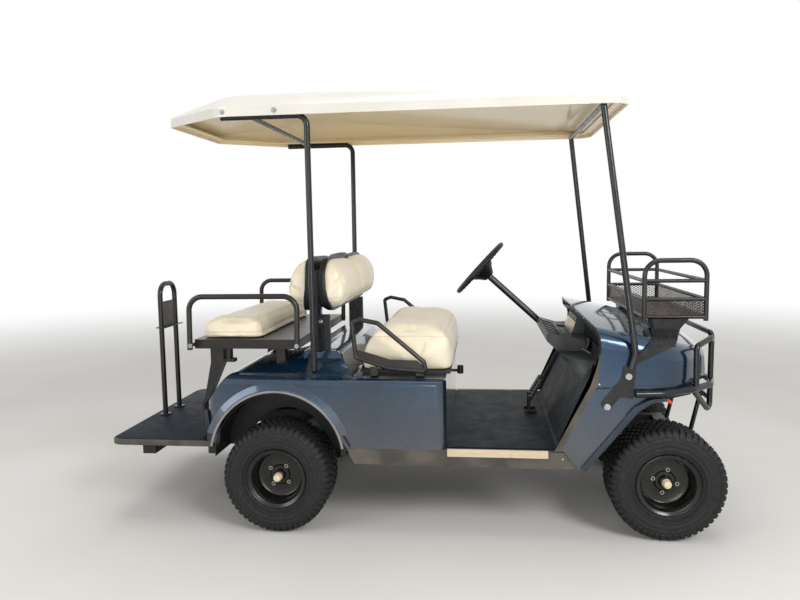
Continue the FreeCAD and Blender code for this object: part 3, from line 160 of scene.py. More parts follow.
def bodyEnamel(name, centre):
    # metallic enamel on plastic: blue flecks under a clear coat, black primer inside, and greyed towards the
    # bottom: road dust together with a painted reflection of the pale ground on the sides
    base, fleck, dust, primer = "#0f2a40", "#1c4564", "#6d675f", "#0d0f12"
    material, place = startMaterial(name)
    blue = blendColours(material, ramp(material, cells(material, place, 1.2), 0.1, 0.6), fleck, base)
    worn = spread(material, place, 260, base, fleck, 0.3, 0.8)
    blue = blendColours(material, wander(material, place, 40, 0.2, 0.45), blue, worn)
    # painted reflection: below 0.7 m the blue fades towards the dust grey, road dust and the pale ground's
    # reflection on the sides painted in, while the tops stay blue
    height = addNode(material, "SeparateXYZ", {"Vector": place}).outputs["Z"]
    dustAndGroundReflection = combine(material, "MULTIPLY", ramp(material, height, 0.38, 0.7, 0.5, 0.0),
                   wander(material, place, 200, 0.75, 1.0))
    inside = insideOf(material, centre)
    colour = blendColours(material, inside, blendColours(material, dustAndGroundReflection, blue, dust), primer)
    rough = combine(material, "ADD", wander(material, place, 60, 0.22, 0.32, 6),
                    combine(material, "MULTIPLY", inside, 0.4))
    return finishMaterial(
        material, colour=colour, rough=rough, metal=ramp(material, inside, first=0.7, last=0.0),
        coat=combine(material, "SUBTRACT", 1.0, inside), coatRough=0.06,
        normal=grain(material, place, 140, 0.2))  # moulded panels are never quite flat


def gelCoat():
    # vacuum-formed roof sheet: off-white and glossy above, creamy and duller below
    material, place = startMaterial("off-white roof acrylic")
    top = spread(material, place, 300, "#dcd8cf", "#d3cfc5")
    under = spread(material, place, 500, "#f4e2bd", "#efd9ae")
    inside = insideOf(material, (rearAxle, 0, 900))
    return finishMaterial(
        material, colour=blendColours(material, inside, top, under), coat=0.3, coatRough=0.1,
        rough=ramp(material, inside, first=0.22, last=0.4), normal=grain(material, place, 120, 0.3))


def powderCoat(name, first, second, rough=0.36, peel=0.02):
    # baked powder on steel tube: satin, with a slight orange peel and rubbed patches
    return surface(name, (70, first, second, 0.4, 0.75, 5), (30, rough - 0.07, rough + 0.09, 5), (6, peel),
                   coat=0.12, coatRough=0.15, gloss=0.4)


def mouldedPlastic(name, first, second, rough, size, depth):
    # injection-moulded or rotomoulded plastic with a pebbled grain
    return surface(name, (120, first, second, 0.35, 0.7, 5), (45, rough - 0.08, rough + 0.1, 5),
                   (size, depth, True), gloss=0.35)


def castIron():
    # sand-cast iron and stamped tin round the engine: dull grey with oily dark patches
    return surface("cast iron", (45, "#2a2a2b", "#4a4a4a", 0.35, 0.7, 6), (20, 0.45, 0.75), (2.2, 0.35),
                   metal=0.5)


def zincSteel():
    # zinc-plated bolt steel: pale grey with faint cloudy spangle
    return surface("zinc-plated steel", (6, "#b9bbbd", "#8f9193", 0.3, 0.7), (5, 0.22, 0.42), (1.5, 0.03),
                   metal=1.0)


def seatVinyl(name, first, second):
    # marine vinyl: cream, with a fine leather grain and a soft sheen, slightly soiled in small random
    # patches
    material, place = startMaterial(name)
    tone = spread(material, place, 180, first, second, 0.35, 0.75, 4)
    colour = blendColours(material, wander(material, place, 12, 0.0, 0.25), tone, "#d8cbad")
    leather = grain(material, place, 1.9, 0.1, True)
    return finishMaterial(material, colour=colour, rough=wander(material, place, 60, 0.36, 0.5),
                          normal=grain(material, place, 35, 0.6, under=leather), sheen=0.15, gloss=0.5)


def treadRubber():
    # tyre rubber: charcoal, dusty, with a fine dull grain
    material, place = startMaterial("tyre rubber")
    tone = spread(material, place, 22, "#0e0f11", "#1a1a1b", 0.35, 0.75, 6)
    colour = blendColours(material, wander(material, place, 9, 0.0, 0.3, 5), tone, "#2b2926")
    return finishMaterial(material, colour=colour, rough=wander(material, place, 14, 0.55, 0.8), gloss=0.35,
                          normal=grain(material, place, 1.2, 0.08))


def rubberMat(name, first, second, pitch, along, depth):
    # ribbed rubber floor mat: blue-black, ribs a few mm apart, dusty in random patches
    material, place = startMaterial(name)
    ribs = addNode(material, "TexWave", {"Vector": place, "Scale": 1000 / pitch / (2 * math.pi)},
                   wave_type="BANDS", bands_direction=along, wave_profile="SIN").outputs["Fac"]
    tone = spread(material, place, 150, first, second, 0.35, 0.7, 6)
    colour = blendColours(material, wander(material, place, 40, 0.0, 0.08, 6), tone, "#2a343c")
    return finishMaterial(material, colour=colour, rough=wander(material, place, 60, 0.5, 0.62, 6),
                          normal=bump(material, ribs, depth), gloss=0.12)


def brushedAluminium(name, first, second, rough=0.34):
    # anodised aluminium strip: fine lines along its length, scuffed by shoes
    material, place = startMaterial(name)
    lines = addNode(material, "Mapping", {"Vector": place, "Scale": (0.02, 1, 1)}).outputs["Vector"]
    colour = spread(material, lines, 4, first, second, 0.3, 0.7, 5)
    scuffed = wander(material, place, 30, rough - 0.08, rough + 0.12, 6)
    return finishMaterial(material, colour=colour, rough=scuffed, metal=0.75,
                          normal=grain(material, lines, 2, 0.03))


def plyBoard():
    # painted plywood under the seat: dull brown-black with the grain showing
    material, place = startMaterial("painted plywood")
    lines = addNode(material, "Mapping", {"Vector": place, "Scale": (1, 0.1, 1)}).outputs["Vector"]
    colour = spread(material, lines, 12, "#241f1b", "#352d26", 0.35, 0.7, 5)
    return finishMaterial(material, colour=colour, rough=0.7, normal=grain(material, lines, 6, 0.2))


def lens():
    # moulded acrylic lens: clear red-orange with a gloss face
    material, place = startMaterial("red-orange acrylic")
    colour = spread(material, place, 8, "#e8492c", "#c8301a", 0.4, 0.8)
    return finishMaterial(material, colour=colour, rough=0.15, ior=1.49, lets=0.25,
                          normal=grain(material, place, 2.5, 0.12, True))


paint = {
    "blueBody": bodyEnamel("blue metallic enamel, rear", (300, 0, 440)),
    "blueCowl": bodyEnamel("blue metallic enamel, front", (1480, 0, 480)),
    "darkTrim": mouldedPlastic("dark blue-grey polypropylene", "#2c3138", "#363b42", 0.38, 1.6, 0.05),
    "fender": mouldedPlastic("blue-grey fender plastic", "#262e38", "#2e3742", 0.3, 1.6, 0.04),
    "roof": gelCoat(),
    "cream": seatVinyl("cream seat vinyl", "#efe6d0", "#e4d8bd"),
    "seam": seatVinyl("cream piping vinyl", "#dccfb2", "#cfc09e"),
    "shell": mouldedPlastic("black polyethylene shell", "#0b0c0e", "#141517", 0.4, 1.4, 0.06),
    "frameCoat": powderCoat("brown-black powder coat", "#15120f", "#241f1a"),
    "strutCoat": powderCoat("black powder coat", "#0a0c0f", "#15171a", 0.26),
    "steel": powderCoat("black chassis paint", "#0f0f0f", "#201e1c", 0.5, 0.12),
    "wheel": powderCoat("satin black wheel enamel", "#100f0d", "#1b1916", 0.24, 0.03),
    "tyre": treadRubber(),
    "iron": castIron(),
    "zinc": zincSteel(),
    "dash": mouldedPlastic("charcoal ABS", "#23272a", "#303434", 0.42, 1.8, 0.12),
    "sill": mouldedPlastic("dusty black polypropylene", "#3d3a35", "#5d574e", 0.5, 1.6, 0.08),
    "mat": rubberMat("ribbed floor rubber", "#060f16", "#0a161f", 9.0, "Y", 0.6),
    "stepMat": rubberMat("step mat rubber", "#08121c", "#0d1a28", 7.0, "X", 0.4),
    "scuff": brushedAluminium("scuffed anodised aluminium", "#d8c9b0", "#c4b397"),
    "plate": brushedAluminium("champagne anodised plate", "#b19f78", "#9b8a66", 0.3),
    "board": plyBoard(),
    "foam": mouldedPlastic("skinned polyurethane foam", "#0e0e0f", "#181819", 0.45, 1.2, 0.06),
    "mesh": powderCoat("rusty expanded steel", "#241c17", "#4a382b", 0.45, 0.08),
    # painted highlight: this light grey stands for light caught on the rolled edge of the rear arches
    "bead": mouldedPlastic("grey edge bead with painted highlight", "#8d8a86", "#777470", 0.38, 2.0, 0.05),
    "cap": mouldedPlastic("cream dust cap plastic", "#d9c9a8", "#c9b896", 0.4, 2.5, 0.03),
    "marker": lens(),
    "pedal": mouldedPlastic("pedal rubber", "#111111", "#1e1c1a", 0.55, 1.5, 0.15),
}
print("materials made")

dressing = {
    "blueBody": ["rear_body"],
    "blueCowl": ["front_cowl"],
    "darkTrim": ["rear_valance"],
    "fender": ["front_fenders"],
    "roof": ["roof"],
    "frameCoat": ["rear_seat_frame", "armrests", "grab_bar", "hip_restraints"],
    "strutCoat": ["front_struts", "rear_struts", "brush_guard", "basket_bracket", "seat_supports",
                  "steering_column"],
    "steel": ["frame", "rear_axle", "front_axle", "knuckle_left", "knuckle_right"],
    "zinc": ["tie_rod", "seat_hinges"],
    "iron": ["engine"],
    "dash": ["dash"],
    "sill": ["sills"],
    "mat": ["floor"],
    "stepMat": ["foot_platform"],
    "scuff": ["scuff_strips"],
    "board": ["seat_board"],
    "pedal": ["controls"],
    "foam": ["steering_wheel"],
    "wheel": ["wheel_" + corner for corner in wheelNames],
    "tyre": ["tyre_" + corner for corner in wheelNames],
    "cream": ["seat_cushion", "front_backrest", "rear_backrest", "rear_seat_cushion"],
    "shell": ["backrest_shells"],
    "mesh": ["basket"],
}
for finish, members in dressing.items():
    for member in members:
        for slot in nodes[member].material_slots:
            slot.material = paint[finish]


# Shapes
def newObject(name, mesh):
    data = bpy.data.meshes.new(name)
    mesh.to_mesh(data)
    mesh.free()
    piece = bpy.data.objects.new(name, data)
    bpy.context.scene.collection.objects.link(piece)
    return piece


def discard(piece):
    data = piece.data
    bpy.data.objects.remove(piece)
    bpy.data.meshes.remove(data)


def bake(piece):
    bpy.context.view_layer.update()
    done = bpy.data.meshes.new_from_object(piece.evaluated_get(bpy.context.evaluated_depsgraph_get()))
    piece.modifiers.clear()
    piece.data = done


def move(mesh, way):
    bmesh.ops.translate(mesh, vec=way, verts=mesh.verts)
    return mesh


def rotate(mesh, degrees, axis, centre=(0, 0, 0)):
    turn = Matrix.Rotation(math.radians(degrees), 3, axis)
    bmesh.ops.rotate(mesh, cent=centre, matrix=turn, verts=mesh.verts)
    return mesh


def outward(mesh):
    bmesh.ops.recalc_face_normals(mesh, faces=mesh.faces)
    return mesh


def spin(mesh, parts, centre, axis, steps, degrees=360):
    bmesh.ops.spin(mesh, geom=parts, cent=centre, axis=axis, angle=math.radians(degrees), steps=steps,
                   use_merge=degrees == 360)


def cone(sides, first, second, high, place):
    mesh = bmesh.new()
    bmesh.ops.create_cone(mesh, cap_ends=True, segments=sides, radius1=first / 1000, radius2=second / 1000,
                          depth=high / 1000, matrix=place)
    return mesh


def bisect(mesh, spot, way, drop=False):
    # the points and lines that a plane cuts
    cut = bmesh.ops.bisect_plane(mesh, geom=mesh.verts[:] + mesh.edges[:] + mesh.faces[:], plane_co=spot,
                                 plane_no=way, clear_outer=drop)
    return cut["geom_cut"]


def thicken(mesh, way):
    # a face carried along, with its sides closed
    grown = bmesh.ops.extrude_face_region(mesh, geom=mesh.faces[:])["geom"]
    corners = [part for part in grown if isinstance(part, bmesh.types.BMVert)]
    bmesh.ops.translate(mesh, verts=corners, vec=way)
    return outward(mesh)


def soften(mesh, edge, steps, least=40):
    # rounds the edges of at least that many degrees
    sharp = [line for line in mesh.edges
             if len(line.link_faces) == 2 and line.calc_face_angle() > math.radians(least)]
    bmesh.ops.bevel(mesh, geom=sharp, offset=edge / 1000, affect="EDGES", segments=steps, profile=0.5,
                    material=-1)


def box(left, low, right, high, *cut):
    return [(left, low, *cut), (right, low, *cut), (right, high, *cut), (left, high, *cut)]


lifts = {"X": lambda a, b, h: at(h, a, b), "Y": lambda a, b, h: at(a, h, b), "Z": at}


def slab(points, axis, low, high, edge=0, steps=3):
    # an outline with corners (a, b, cut back) kept from low to high along an axis, with its edges softened
    mesh, lift = bmesh.new(), lifts[axis]
    outline = [mesh.verts.new(lift(point[0], point[1], low)) for point in points]
    mesh.faces.new(outline)
    for corner, point in zip(outline, points):
        if len(point) > 2:
            bmesh.ops.bevel(mesh, geom=[corner], offset=point[2] / 1000, affect="VERTICES", segments=5,
                            profile=0.5, material=-1)
    thicken(mesh, lift(0, 0, high) - lift(0, 0, low))
    if edge:
        soften(mesh, edge, steps)
    return mesh


def turned(profile, steps, closed=False):
    # a profile of (radius, height) spun about the Z axis
    mesh = bmesh.new()
    points = [mesh.verts.new((radius / 1000, 0, height / 1000)) for radius, height in profile]
    lines = [mesh.edges.new(pair) for pair in zip(points, points[1:] + (points[:1] if closed else []))]
    spin(mesh, points + lines, (0, 0, 0), (0, 0, 1), steps)
    bmesh.ops.remove_doubles(mesh, verts=mesh.verts, dist=1e-6)
    return outward(mesh)


def aim(mesh, spot, way, turn=0):
    # from the origin, standing on Z, to a spot and a direction
    lean = Vector((0, 0, 1)).rotation_difference(Vector(way).normalized()).to_matrix().to_4x4()
    roll = Matrix.Rotation(math.radians(turn), 4, "Z")
    bmesh.ops.transform(mesh, matrix=Matrix.Translation(at(*spot)) @ lean @ roll, verts=mesh.verts)
    return mesh


def gather(parts):
    whole = bmesh.new()
    for part in parts:
        data = bpy.data.meshes.new("part")
        part.to_mesh(data)
        part.free()
        whole.from_mesh(data)
        bpy.data.meshes.remove(data)
    return whole


def mirrorOf(mesh):
    other = mesh.copy()
    bmesh.ops.scale(other, vec=(1, -1, 1), verts=other.verts)
    bmesh.ops.reverse_faces(other, faces=other.faces)
    return other


def bothSides(parts):
    return gather([copy for part in parts for copy in (mirrorOf(part), part)])


def bent(points, bend):
    # straight runs with an arc at each inner corner
    points = [Vector(point) for point in points]
    path = [points[0]]
    for before, corner, after in zip(points, points[1:], points[2:]):
        back, forth = (before - corner).normalized(), (after - corner).normalized()
        half = back.angle(forth) / 2
        reach = bend / math.tan(half)
        centre = corner + (back + forth).normalized() * bend / math.sin(half)
        first, last = corner + back * reach - centre, corner + forth * reach - centre
        path += [centre + first.slerp(last, step / 8).normalized() * bend for step in range(9)]
    return path + [points[-1]]


def pipe(points, radius, bend=0, closed=False, round=3):
    # a tube along points given in mm
    path = bent(points, bend) if bend else [Vector(point) for point in points]
    curve = bpy.data.curves.new("path", "CURVE")
    curve.dimensions = "3D"
    curve.bevel_depth, curve.bevel_resolution, curve.use_fill_caps = radius / 1000, round, not closed
    line = curve.splines.new("POLY")
    line.points.add(len(path) - 1)
    for point, place in zip(line.points, path):
        point.co = (*at(*place), 1)
    line.use_cyclic_u = closed
    holder = bpy.data.objects.new("path", curve)
    data = bpy.data.meshes.new_from_object(holder)
    mesh = bmesh.new()
    mesh.from_mesh(data)
    bpy.data.objects.remove(holder)
    bpy.data.curves.remove(curve)
    bpy.data.meshes.remove(data)
    return outward(mesh)


def joined(mesh, others, how):
    # a closed shape after each of the others is taken out of it, or what it shares with them
    whole = newObject("form", mesh)
    for shape in others:
        other = newObject("tool", shape)
        cutter = whole.modifiers.new("cut", "BOOLEAN")
        cutter.operation, cutter.object, cutter.solver = how, other, "EXACT"
        bake(whole)
        discard(other)
    result = bmesh.new()
    result.from_mesh(whole.data)
    discard(whole)
    return result


def shared(first, *others):
    return joined(first, others, "INTERSECT")


def addPiece(name, mesh, finish, angle, instead=(), body="chassis"):
    # angle: the least angle in degrees that stays a sharp edge
    piece = newObject(name, mesh)
    piece.data.materials.append(paint[finish])
    piece.data.shade_smooth()
    piece.data.set_sharp_from_angle(angle=math.radians(angle))
    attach(piece, body)
    if instead:
        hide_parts(*instead)
    return piece


# Tyres
tyreValues = {
    "lugs": 52,  # shoulder lugs round the tyre
    # shoulder lug: radius and height of its corners, and its width
    "lug": [(228, 68), (239.6, 68), (238, 86), (231, 96.5), (221, 103), (209, 107.2), (205, 104), (220, 92)],
    "lugWide": 18.6,
    "rows": (-56, -28, 0, 28, 56),  # crown rows, mm from the middle
    "block": 12.4,  # half diagonal of a crown block
    "top": 239.9,  # radius of the crown, which falls by 0.3 from row to row
    "fall": 0.3 / 28,
    "wall": [(130, 88), (137, 93), (141, 98), (146, 97.5), (148, 101), (151, 101), (153, 104.5),
             (164, 106.5), (166, 105.5), (168, 107), (184, 108), (186, 107), (188, 108), (200, 106.5),
             (211, 103.5), (221, 98.5), (229, 90), (233, 78), (232, 54)],
}


def ringOf(block, offset):
    # a copy of the block at each lug's place round the tyre
    pitch = 360 / tyreValues["lugs"]
    copies = [rotate(block.copy(), pitch * (count + offset), "Z") for count in range(tyreValues["lugs"])]
    block.free()
    return copies


def tyreMesh():
    wall, wide, block = (tyreValues[key] for key in ("wall", "lugWide", "block"))
    profile = wall + [(wall[-1][0], 0)] + [(radius, -height) for radius, height in reversed(wall)]
    parts = [turned(profile, 104)]
    for side in (1, -1):
        lug = bmesh.new()
        lug.faces.new([lug.verts.new((radius / 1000, -wide / 2000, side * height / 1000))
                       for radius, height in tyreValues["lug"]])
        thicken(lug, (0, wide / 1000, 0))
        soften(lug, 1.6, 1, 60)
        parts += ringOf(lug, side / 4)
    for index, row in enumerate(tyreValues["rows"]):
        diamond = rotate(cone(4, block, block - 1.6, 12, Matrix.Scale(0.86, 4, (0, 1, 0))), 90, "Y")
        top = tyreValues["top"] - tyreValues["fall"] * abs(row)
        parts += ringOf(move(diamond, ((top - 6) / 1000, 0, row / 1000)), index % 2 / 2)
    return gather(parts)


# Wheels: a rolled rim, a dished disc, a hub cup, four open nuts on studs and a dust cap; the stud ends are
# black, painted shade for the hollow inside each open nut
wheelValues = {
    "disc": 23, "bolts": 50.8, "nut": 10.5, "stud": 5.8, "hub": 27, "height": 240,
    "rim": [(129.5, -95), (126, -93), (124, -88), (116, -84), (113, -72), (108, -30), (106, 10), (108, 40),
            (111, 62), (113, 70), (117, 74), (118.5, 79), (116, 83), (118, 86), (125, 88), (128, 91),
            (129.8, 94.5), (128, 95), (124.5, 93.5), (121, 90.5), (114, 87.5), (111.5, 83), (113.5, 79),
            (112, 75.5), (108.5, 72), (106, 60), (103, 40), (100, 10), (102, -30), (107, -74), (111, -88),
            (121, -93), (124, -95)],
    "cap": [(0, 87), (9, 86.5), (14.5, 84), (17, 79), (17.2, 62), (19.5, 58), (19.5, 50), (0, 50)],
}
axles = (
    # name, place, half track, turn of the bolt circle
    ("rear", 0, 500, 53),
    ("front", frontAxle, 456, 78),
)


def wheelMesh():
    disc, hub = wheelValues["disc"], wheelValues["hub"]
    plate = [(100.5, disc + 12), (97, disc + 4), (90, disc), (60, disc), (46, disc + 1.5), (40, disc + 7),
             (hub + 1, disc + 8), (hub, disc + 12), (hub - 1, disc + 34), (hub - 4, disc + 37),
             (20, disc + 37), (19, disc + 30), (19, disc - 5), (90, disc - 5), (101, disc + 2)]
    return gather([turned(wheelValues["rim"], 72, True), turned(plate, 56, True)])


def boltCircle(sides, radius, inset, high, lift):
    parts = []
    for quarter in range(4):
        spot = Matrix.Translation((wheelValues["bolts"] / 1000, 0, (wheelValues["disc"] + lift) / 1000))
        spot = Matrix.Rotation(math.radians(90 * quarter), 4, "Z") @ spot
        parts.append(cone(sides, radius, radius - inset, high, spot))
    return gather(parts)


for end, axleX, track, turn in axles:
    for side, sign in (("left", 1), ("right", -1)):
        corner, body = "%s_%s" % (end, side), "%s_wheel_%s" % (end, side)
        spot, way = (axleX, sign * track, wheelValues["height"]), (0, sign, 0)
        nuts = aim(boltCircle(6, wheelValues["nut"], 1, 11, 6), spot, way, turn)
        studs = aim(boltCircle(12, wheelValues["stud"], 0.4, 12, 6.2), spot, way, turn)
        tyre, wheel = aim(tyreMesh(), spot, way), aim(wheelMesh(), spot, way)
        dustCap = aim(turned(wheelValues["cap"], 40), spot, way)
        addPiece("treaded_tyre_" + corner, tyre, "tyre", 40, ["tyre_" + corner], body)
        addPiece("dished_wheel_" + corner, wheel, "wheel", 35, ["wheel_" + corner], body)
        addPiece("wheel_nuts_" + corner, nuts, "zinc", 30, body=body)
        # painted shade: the studs take the black wheel enamel so their ends read as the shaded hollows of
        # the open nuts
        addPiece("painted_shade_wheel_studs_" + corner, studs, "wheel", 30, body=body)
        addPiece("dust_cap_" + corner, dustCap, "cap", 35, body=body)
print("wheels done")


# Cushions
def ease(value, low, high):
    # 0 below low, 1 above high, smooth between
    part = min(1, max(0, (value - low) / (high - low)))
    return part * part * (3 - 2 * part)


def dimple(distance, width, depth):
    return depth * math.exp(-(distance / width) ** 2)


def creases(x, y, z, size, depth):
    return depth * noise.noise(Vector((x, y, z)) / size)


def swell(piece, held, cap):
    # blown up as cloth by at most cap mm, except where it is held
    start = [vertex.co.copy() for vertex in piece.data.vertices]
    group = piece.vertex_groups.new(name="held")
    for index, point in enumerate(start):
        group.add([index], min(1, max(0, held(*placeOf(point)))), "REPLACE")
    cloth = piece.modifiers.new("swell", "CLOTH")
    cloth.settings.quality = 5
    cloth.settings.use_pressure = True
    cloth.settings.uniform_pressure_force = 4
    cloth.settings.vertex_group_mass = "held"
    cloth.settings.effector_weights.gravity = 0
    cloth.point_cache.frame_start, cloth.point_cache.frame_end = 1, 20
    for moment in range(1, 21):
        bpy.context.scene.frame_set(moment)
    bake(piece)
    bpy.context.scene.frame_set(1)
    piece.vertex_groups.clear()
    for vertex, first in zip(piece.data.vertices, start):
        grown = vertex.co - first
        if grown.length > cap / 1000:
            vertex.co = first + grown.normalized() * cap / 1000


def stuffed(name, form, values, body, node, held, squeeze):
    # an even skin over the form, swollen, then drawn in at its seams and creases
    bmesh.ops.triangulate(form, faces=form.faces)
    piece = addPiece(name, form, "cream", 60, [node], body)
    skin = piece.modifiers.new("skin", "REMESH")
    skin.mode, skin.voxel_size, skin.use_smooth_shade = "VOXEL", values["voxel"] / 1000, True
    bake(piece)
    mesh = bmesh.new()
    mesh.from_mesh(piece.data)
    for turn in range(values["calm"]):
        bmesh.ops.smooth_vert(mesh, verts=mesh.verts, factor=0.5, use_axis_x=True, use_axis_y=True,
                              use_axis_z=True)
    mesh.to_mesh(piece.data)
    mesh.free()
    swell(piece, held, values["cap"])
    normals = [vertex.normal.copy() for vertex in piece.data.vertices]
    for vertex, normal in zip(piece.data.vertices, normals):
        vertex.co -= normal * squeeze(*placeOf(vertex.co)) / 1000
    finer = piece.modifiers.new("finer", "SUBSURF")
    finer.levels = finer.render_levels = 1
    bake(piece)
    piece.data.materials.clear()
    piece.data.materials.append(paint["cream"])
    piece.data.shade_smooth()
    print(name, len(piece.data.polygons), "faces")
    return piece


def piping(name, piece, height, radius, body):
    # a welt round the pad at that height
    mesh = bmesh.new()
    mesh.from_mesh(piece.data)
    cut = bisect(mesh, at(0, 0, height), (0, 0, 1))
    neighbours = {part: [] for part in cut if isinstance(part, bmesh.types.BMVert)}
    for line in cut:
        if isinstance(line, bmesh.types.BMEdge):
            for one, other in (line.verts, reversed(line.verts)):
                neighbours[one].append(other)
    loops, seen = [], set()
    for here in neighbours:
        loop = []
        while here is not None and here not in seen:
            seen.add(here)
            loop.append(here.co + here.normal * 0.0006)
            here = next((other for other in neighbours[here] if other not in seen), None)
        loops.append(loop)
    loop = max(loops, key=len)[::3]
    even = [(before + here * 2 + after) / 4 for before, here, after in
            zip(loop[-1:] + loop[:-1], loop, loop[1:] + loop[:1])]
    mesh.free()
    welt = pipe([placeOf(point) for point in even], radius, 0, True, 1)
    return addPiece(name, welt, "seam", 60, body=body)


frontSeat = {
    "side": [(366, 699), (764, 699), (768, 740), (766, 826), (730, 874, 30), (452, 882, 30),
             (412, 868, 30), (372, 790, 30), (362, 740)],
    "plan": [(340, -446, 60), (768, -446, 60), (768, 446, 60), (340, 446, 60)],
    "face": [(-438, 690), (438, 690), (446, 790), (446, 882, 70), (-446, 882, 70), (-446, 790)],
    "widths": (-446, 446), "heights": (690, 900), "lengths": (330, 780),
    "held": (700, 722),  # the skin is fixed below the first height and free above the second
    "welt": 846, "groove": (6, 2.2),  # height of the welt, width and depth of its groove
    "crease": (70, 2.4),  # size and depth of the folds
    "middle": (40, 3),  # width and depth of the hollow between the two places
    "voxel": 9, "calm": 14, "cap": 16,
}
rearSeat = {
    "side": [(-372, 841), (-92, 841), (-88, 880), (-96, 914, 20), (-340, 918, 30), (-380, 890, 20)],
    "plan": [(-384, -444, 50), (-86, -444, 60), (-86, 444, 60), (-384, 444, 50)],
    "face": [(-440, 841), (440, 841), (446, 870), (446, 924, 34), (-446, 924, 34), (-446, 870)],
    "widths": (-444, 444), "heights": (830, 940), "lengths": (-400, -60),
    "held": (843, 852),
    "welt": 868, "groove": (5, 1.6),
    "crease": (80, 2.4),
    "middle": (40, 0),
    "voxel": 8, "calm": 7, "cap": 14,
}


def seatPad(name, values, body, node):
    form = shared(slab(values["side"], "Y", *values["widths"]),
                  slab(values["plan"], "Z", *values["heights"]),
                  slab(values["face"], "X", *values["lengths"]))
    return stuffed(
        name, form, values, body, node, lambda x, y, z: 1 - ease(z, *values["held"]),
        lambda x, y, z: (dimple(z - values["welt"], *values["groove"]) + creases(x, y, z, *values["crease"])
                         + dimple(abs(y), *values["middle"]) * ease(z, 860, 880)))


seat = seatPad("front_seat_pad", frontSeat, "seat_lid", "seat_cushion")
piping("front_seat_piping", seat, frontSeat["welt"], 2.2, "seat_lid")
seat = seatPad("rear_seat_pad", rearSeat, "chassis", "rear_seat_cushion")
piping("rear_seat_piping", seat, rearSeat["welt"], 2.2, "chassis")

# Two backrests, back to back about the same upright plane, each dipped in the middle
backValues = {
    "plane": 165,
    "front": [(-452, 984, 60), (-380, 966, 30), (380, 966, 30), (452, 984, 60), (456, 1120, 40),
              (428, 1182, 60), (330, 1192, 50), (60, 1186, 40), (0, 1156, 30), (-60, 1186, 40),
              (-330, 1192, 50), (-428, 1182, 60), (-456, 1120, 40)],
    "side": [(222, 962), (264, 968, 12), (284, 1010, 20), (288, 1060, 30), (276, 1120, 40), (250, 1172, 30),
             (228, 1196), (206, 1196), (204, 1060)],
    "voxel": 8, "calm": 3, "cap": 14,
}
shellValues = {
    "front": [(-462, 978, 66), (-384, 959, 30), (384, 959, 30), (462, 978, 66), (468, 1122, 40),
              (438, 1194, 66), (330, 1203, 50), (64, 1198, 40), (0, 1172, 30), (-64, 1198, 40),
              (-330, 1203, 50), (-438, 1194, 66), (-468, 1122, 40)],
    "side": [(186, 982), (212, 958), (232, 958), (226, 980), (212, 1060), (208, 1130), (214, 1192),
             (210, 1206), (190, 1206), (186, 1180)],
}
plane = backValues["plane"]


def backForm(values, sign, deep):
    # what the outlines from the front and from the side share, turned round for the rear seat
    side = [(plane + sign * (point[0] - plane),) + tuple(point[1:]) for point in values["side"]]
    return shared(slab(values["front"], "X", plane - deep, plane + deep), slab(side, "Y", -480, 480))


for end, sign in (("front", 1), ("rear", -1)):
    stuffed(end + "_back_pad", backForm(backValues, sign, 160), backValues, "chassis", end + "_backrest",
            lambda x, y, z: 1 - ease(sign * (x - plane), 44, 62),
            lambda x, y, z: dimple(y, 26, 11) * ease(sign * (x - plane), 70, 95) + creases(x, y, z, 75, 2.6))
print("cushions done")

# Moulded shells behind the backrests, with a lip round each cushion
shells = []
for sign in (1, -1):
    form = backForm(shellValues, sign, 90)
    bmesh.ops.remove_doubles(form, verts=form.verts, dist=0.0004)
    soften(form, 3, 2, 50)
    shells.append(form)
addPiece("moulded_back_shells", gather(shells), "shell", 40, ["backrest_shells"])
print("shells done")

# Basket: hoops and rails of tube, with expanded mesh between the lower rails and in the floor
basketValues = {
    "tube": 10.5, "rail": 8.5, "bend": 66, "back": 1580, "front": 1832, "half": 425,
    "floor": 933, "rim": 1008, "bar": 1086, "top": 1172,  # heights
    "cell": (19, 11.5), "strand": 1.5, "sheet": 1.2,
}


def basketTubes():
    back, front, half, low, top = (basketValues[key] for key in ("back", "front", "half", "floor", "top"))
    tube, rail, bend = (basketValues[key] for key in ("tube", "rail", "bend"))
    heights = [basketValues[key] for key in ("floor", "rim", "bar")]
    hoop = [(back, half, low - 16), (back, half, top), (front, half, top), (front, half, low - 16)]
    parts = []
    for sign in (1, -1):
        parts.append(pipe([(x, sign * y, z) for x, y, z in hoop], tube, bend))
        y = sign * half
        parts += [pipe([(back, y, height), (front, y, height)], rail) for height in heights]
    for x in (back, front):
        parts += [pipe([(x, -half, height), (x, half, height)], rail) for height in heights]
    return gather(parts)


def expandedMesh(width, height):
    # diamonds cut and stretched from sheet, flat, with their middle at the origin
    wide, high = basketValues["cell"]
    count = math.ceil(width / wide) + math.ceil(height / high) + 4
    mesh = bmesh.new()
    bmesh.ops.create_grid(mesh, x_segments=count, y_segments=count, size=count / 2 / math.sqrt(2),
                          matrix=Matrix.Rotation(math.radians(45), 4, "Z"))
    bmesh.ops.scale(mesh, vec=(wide / 1000, high / 1000, 1), verts=mesh.verts)
    for side in (1, -1):
        bisect(mesh, (side * width / 2000, 0, 0), (side, 0, 0), True)
    for side in (1, -1):
        bisect(mesh, (0, side * height / 2000, 0), (0, side, 0), True)
    small = [face for face in mesh.faces if face.calc_area() < 0.12 * wide * high / 2e6]
    bmesh.ops.delete(mesh, geom=small, context="FACES")
    holes = mesh.faces[:]
    bmesh.ops.inset_individual(mesh, faces=holes, thickness=basketValues["strand"] / 1000,
                               use_even_offset=True)
    bmesh.ops.delete(mesh, geom=holes, context="FACES")
    bmesh.ops.remove_doubles(mesh, verts=mesh.verts, dist=1e-5)
    bmesh.ops.solidify(mesh, geom=mesh.faces[:], thickness=basketValues["sheet"] / 1000)
    return mesh


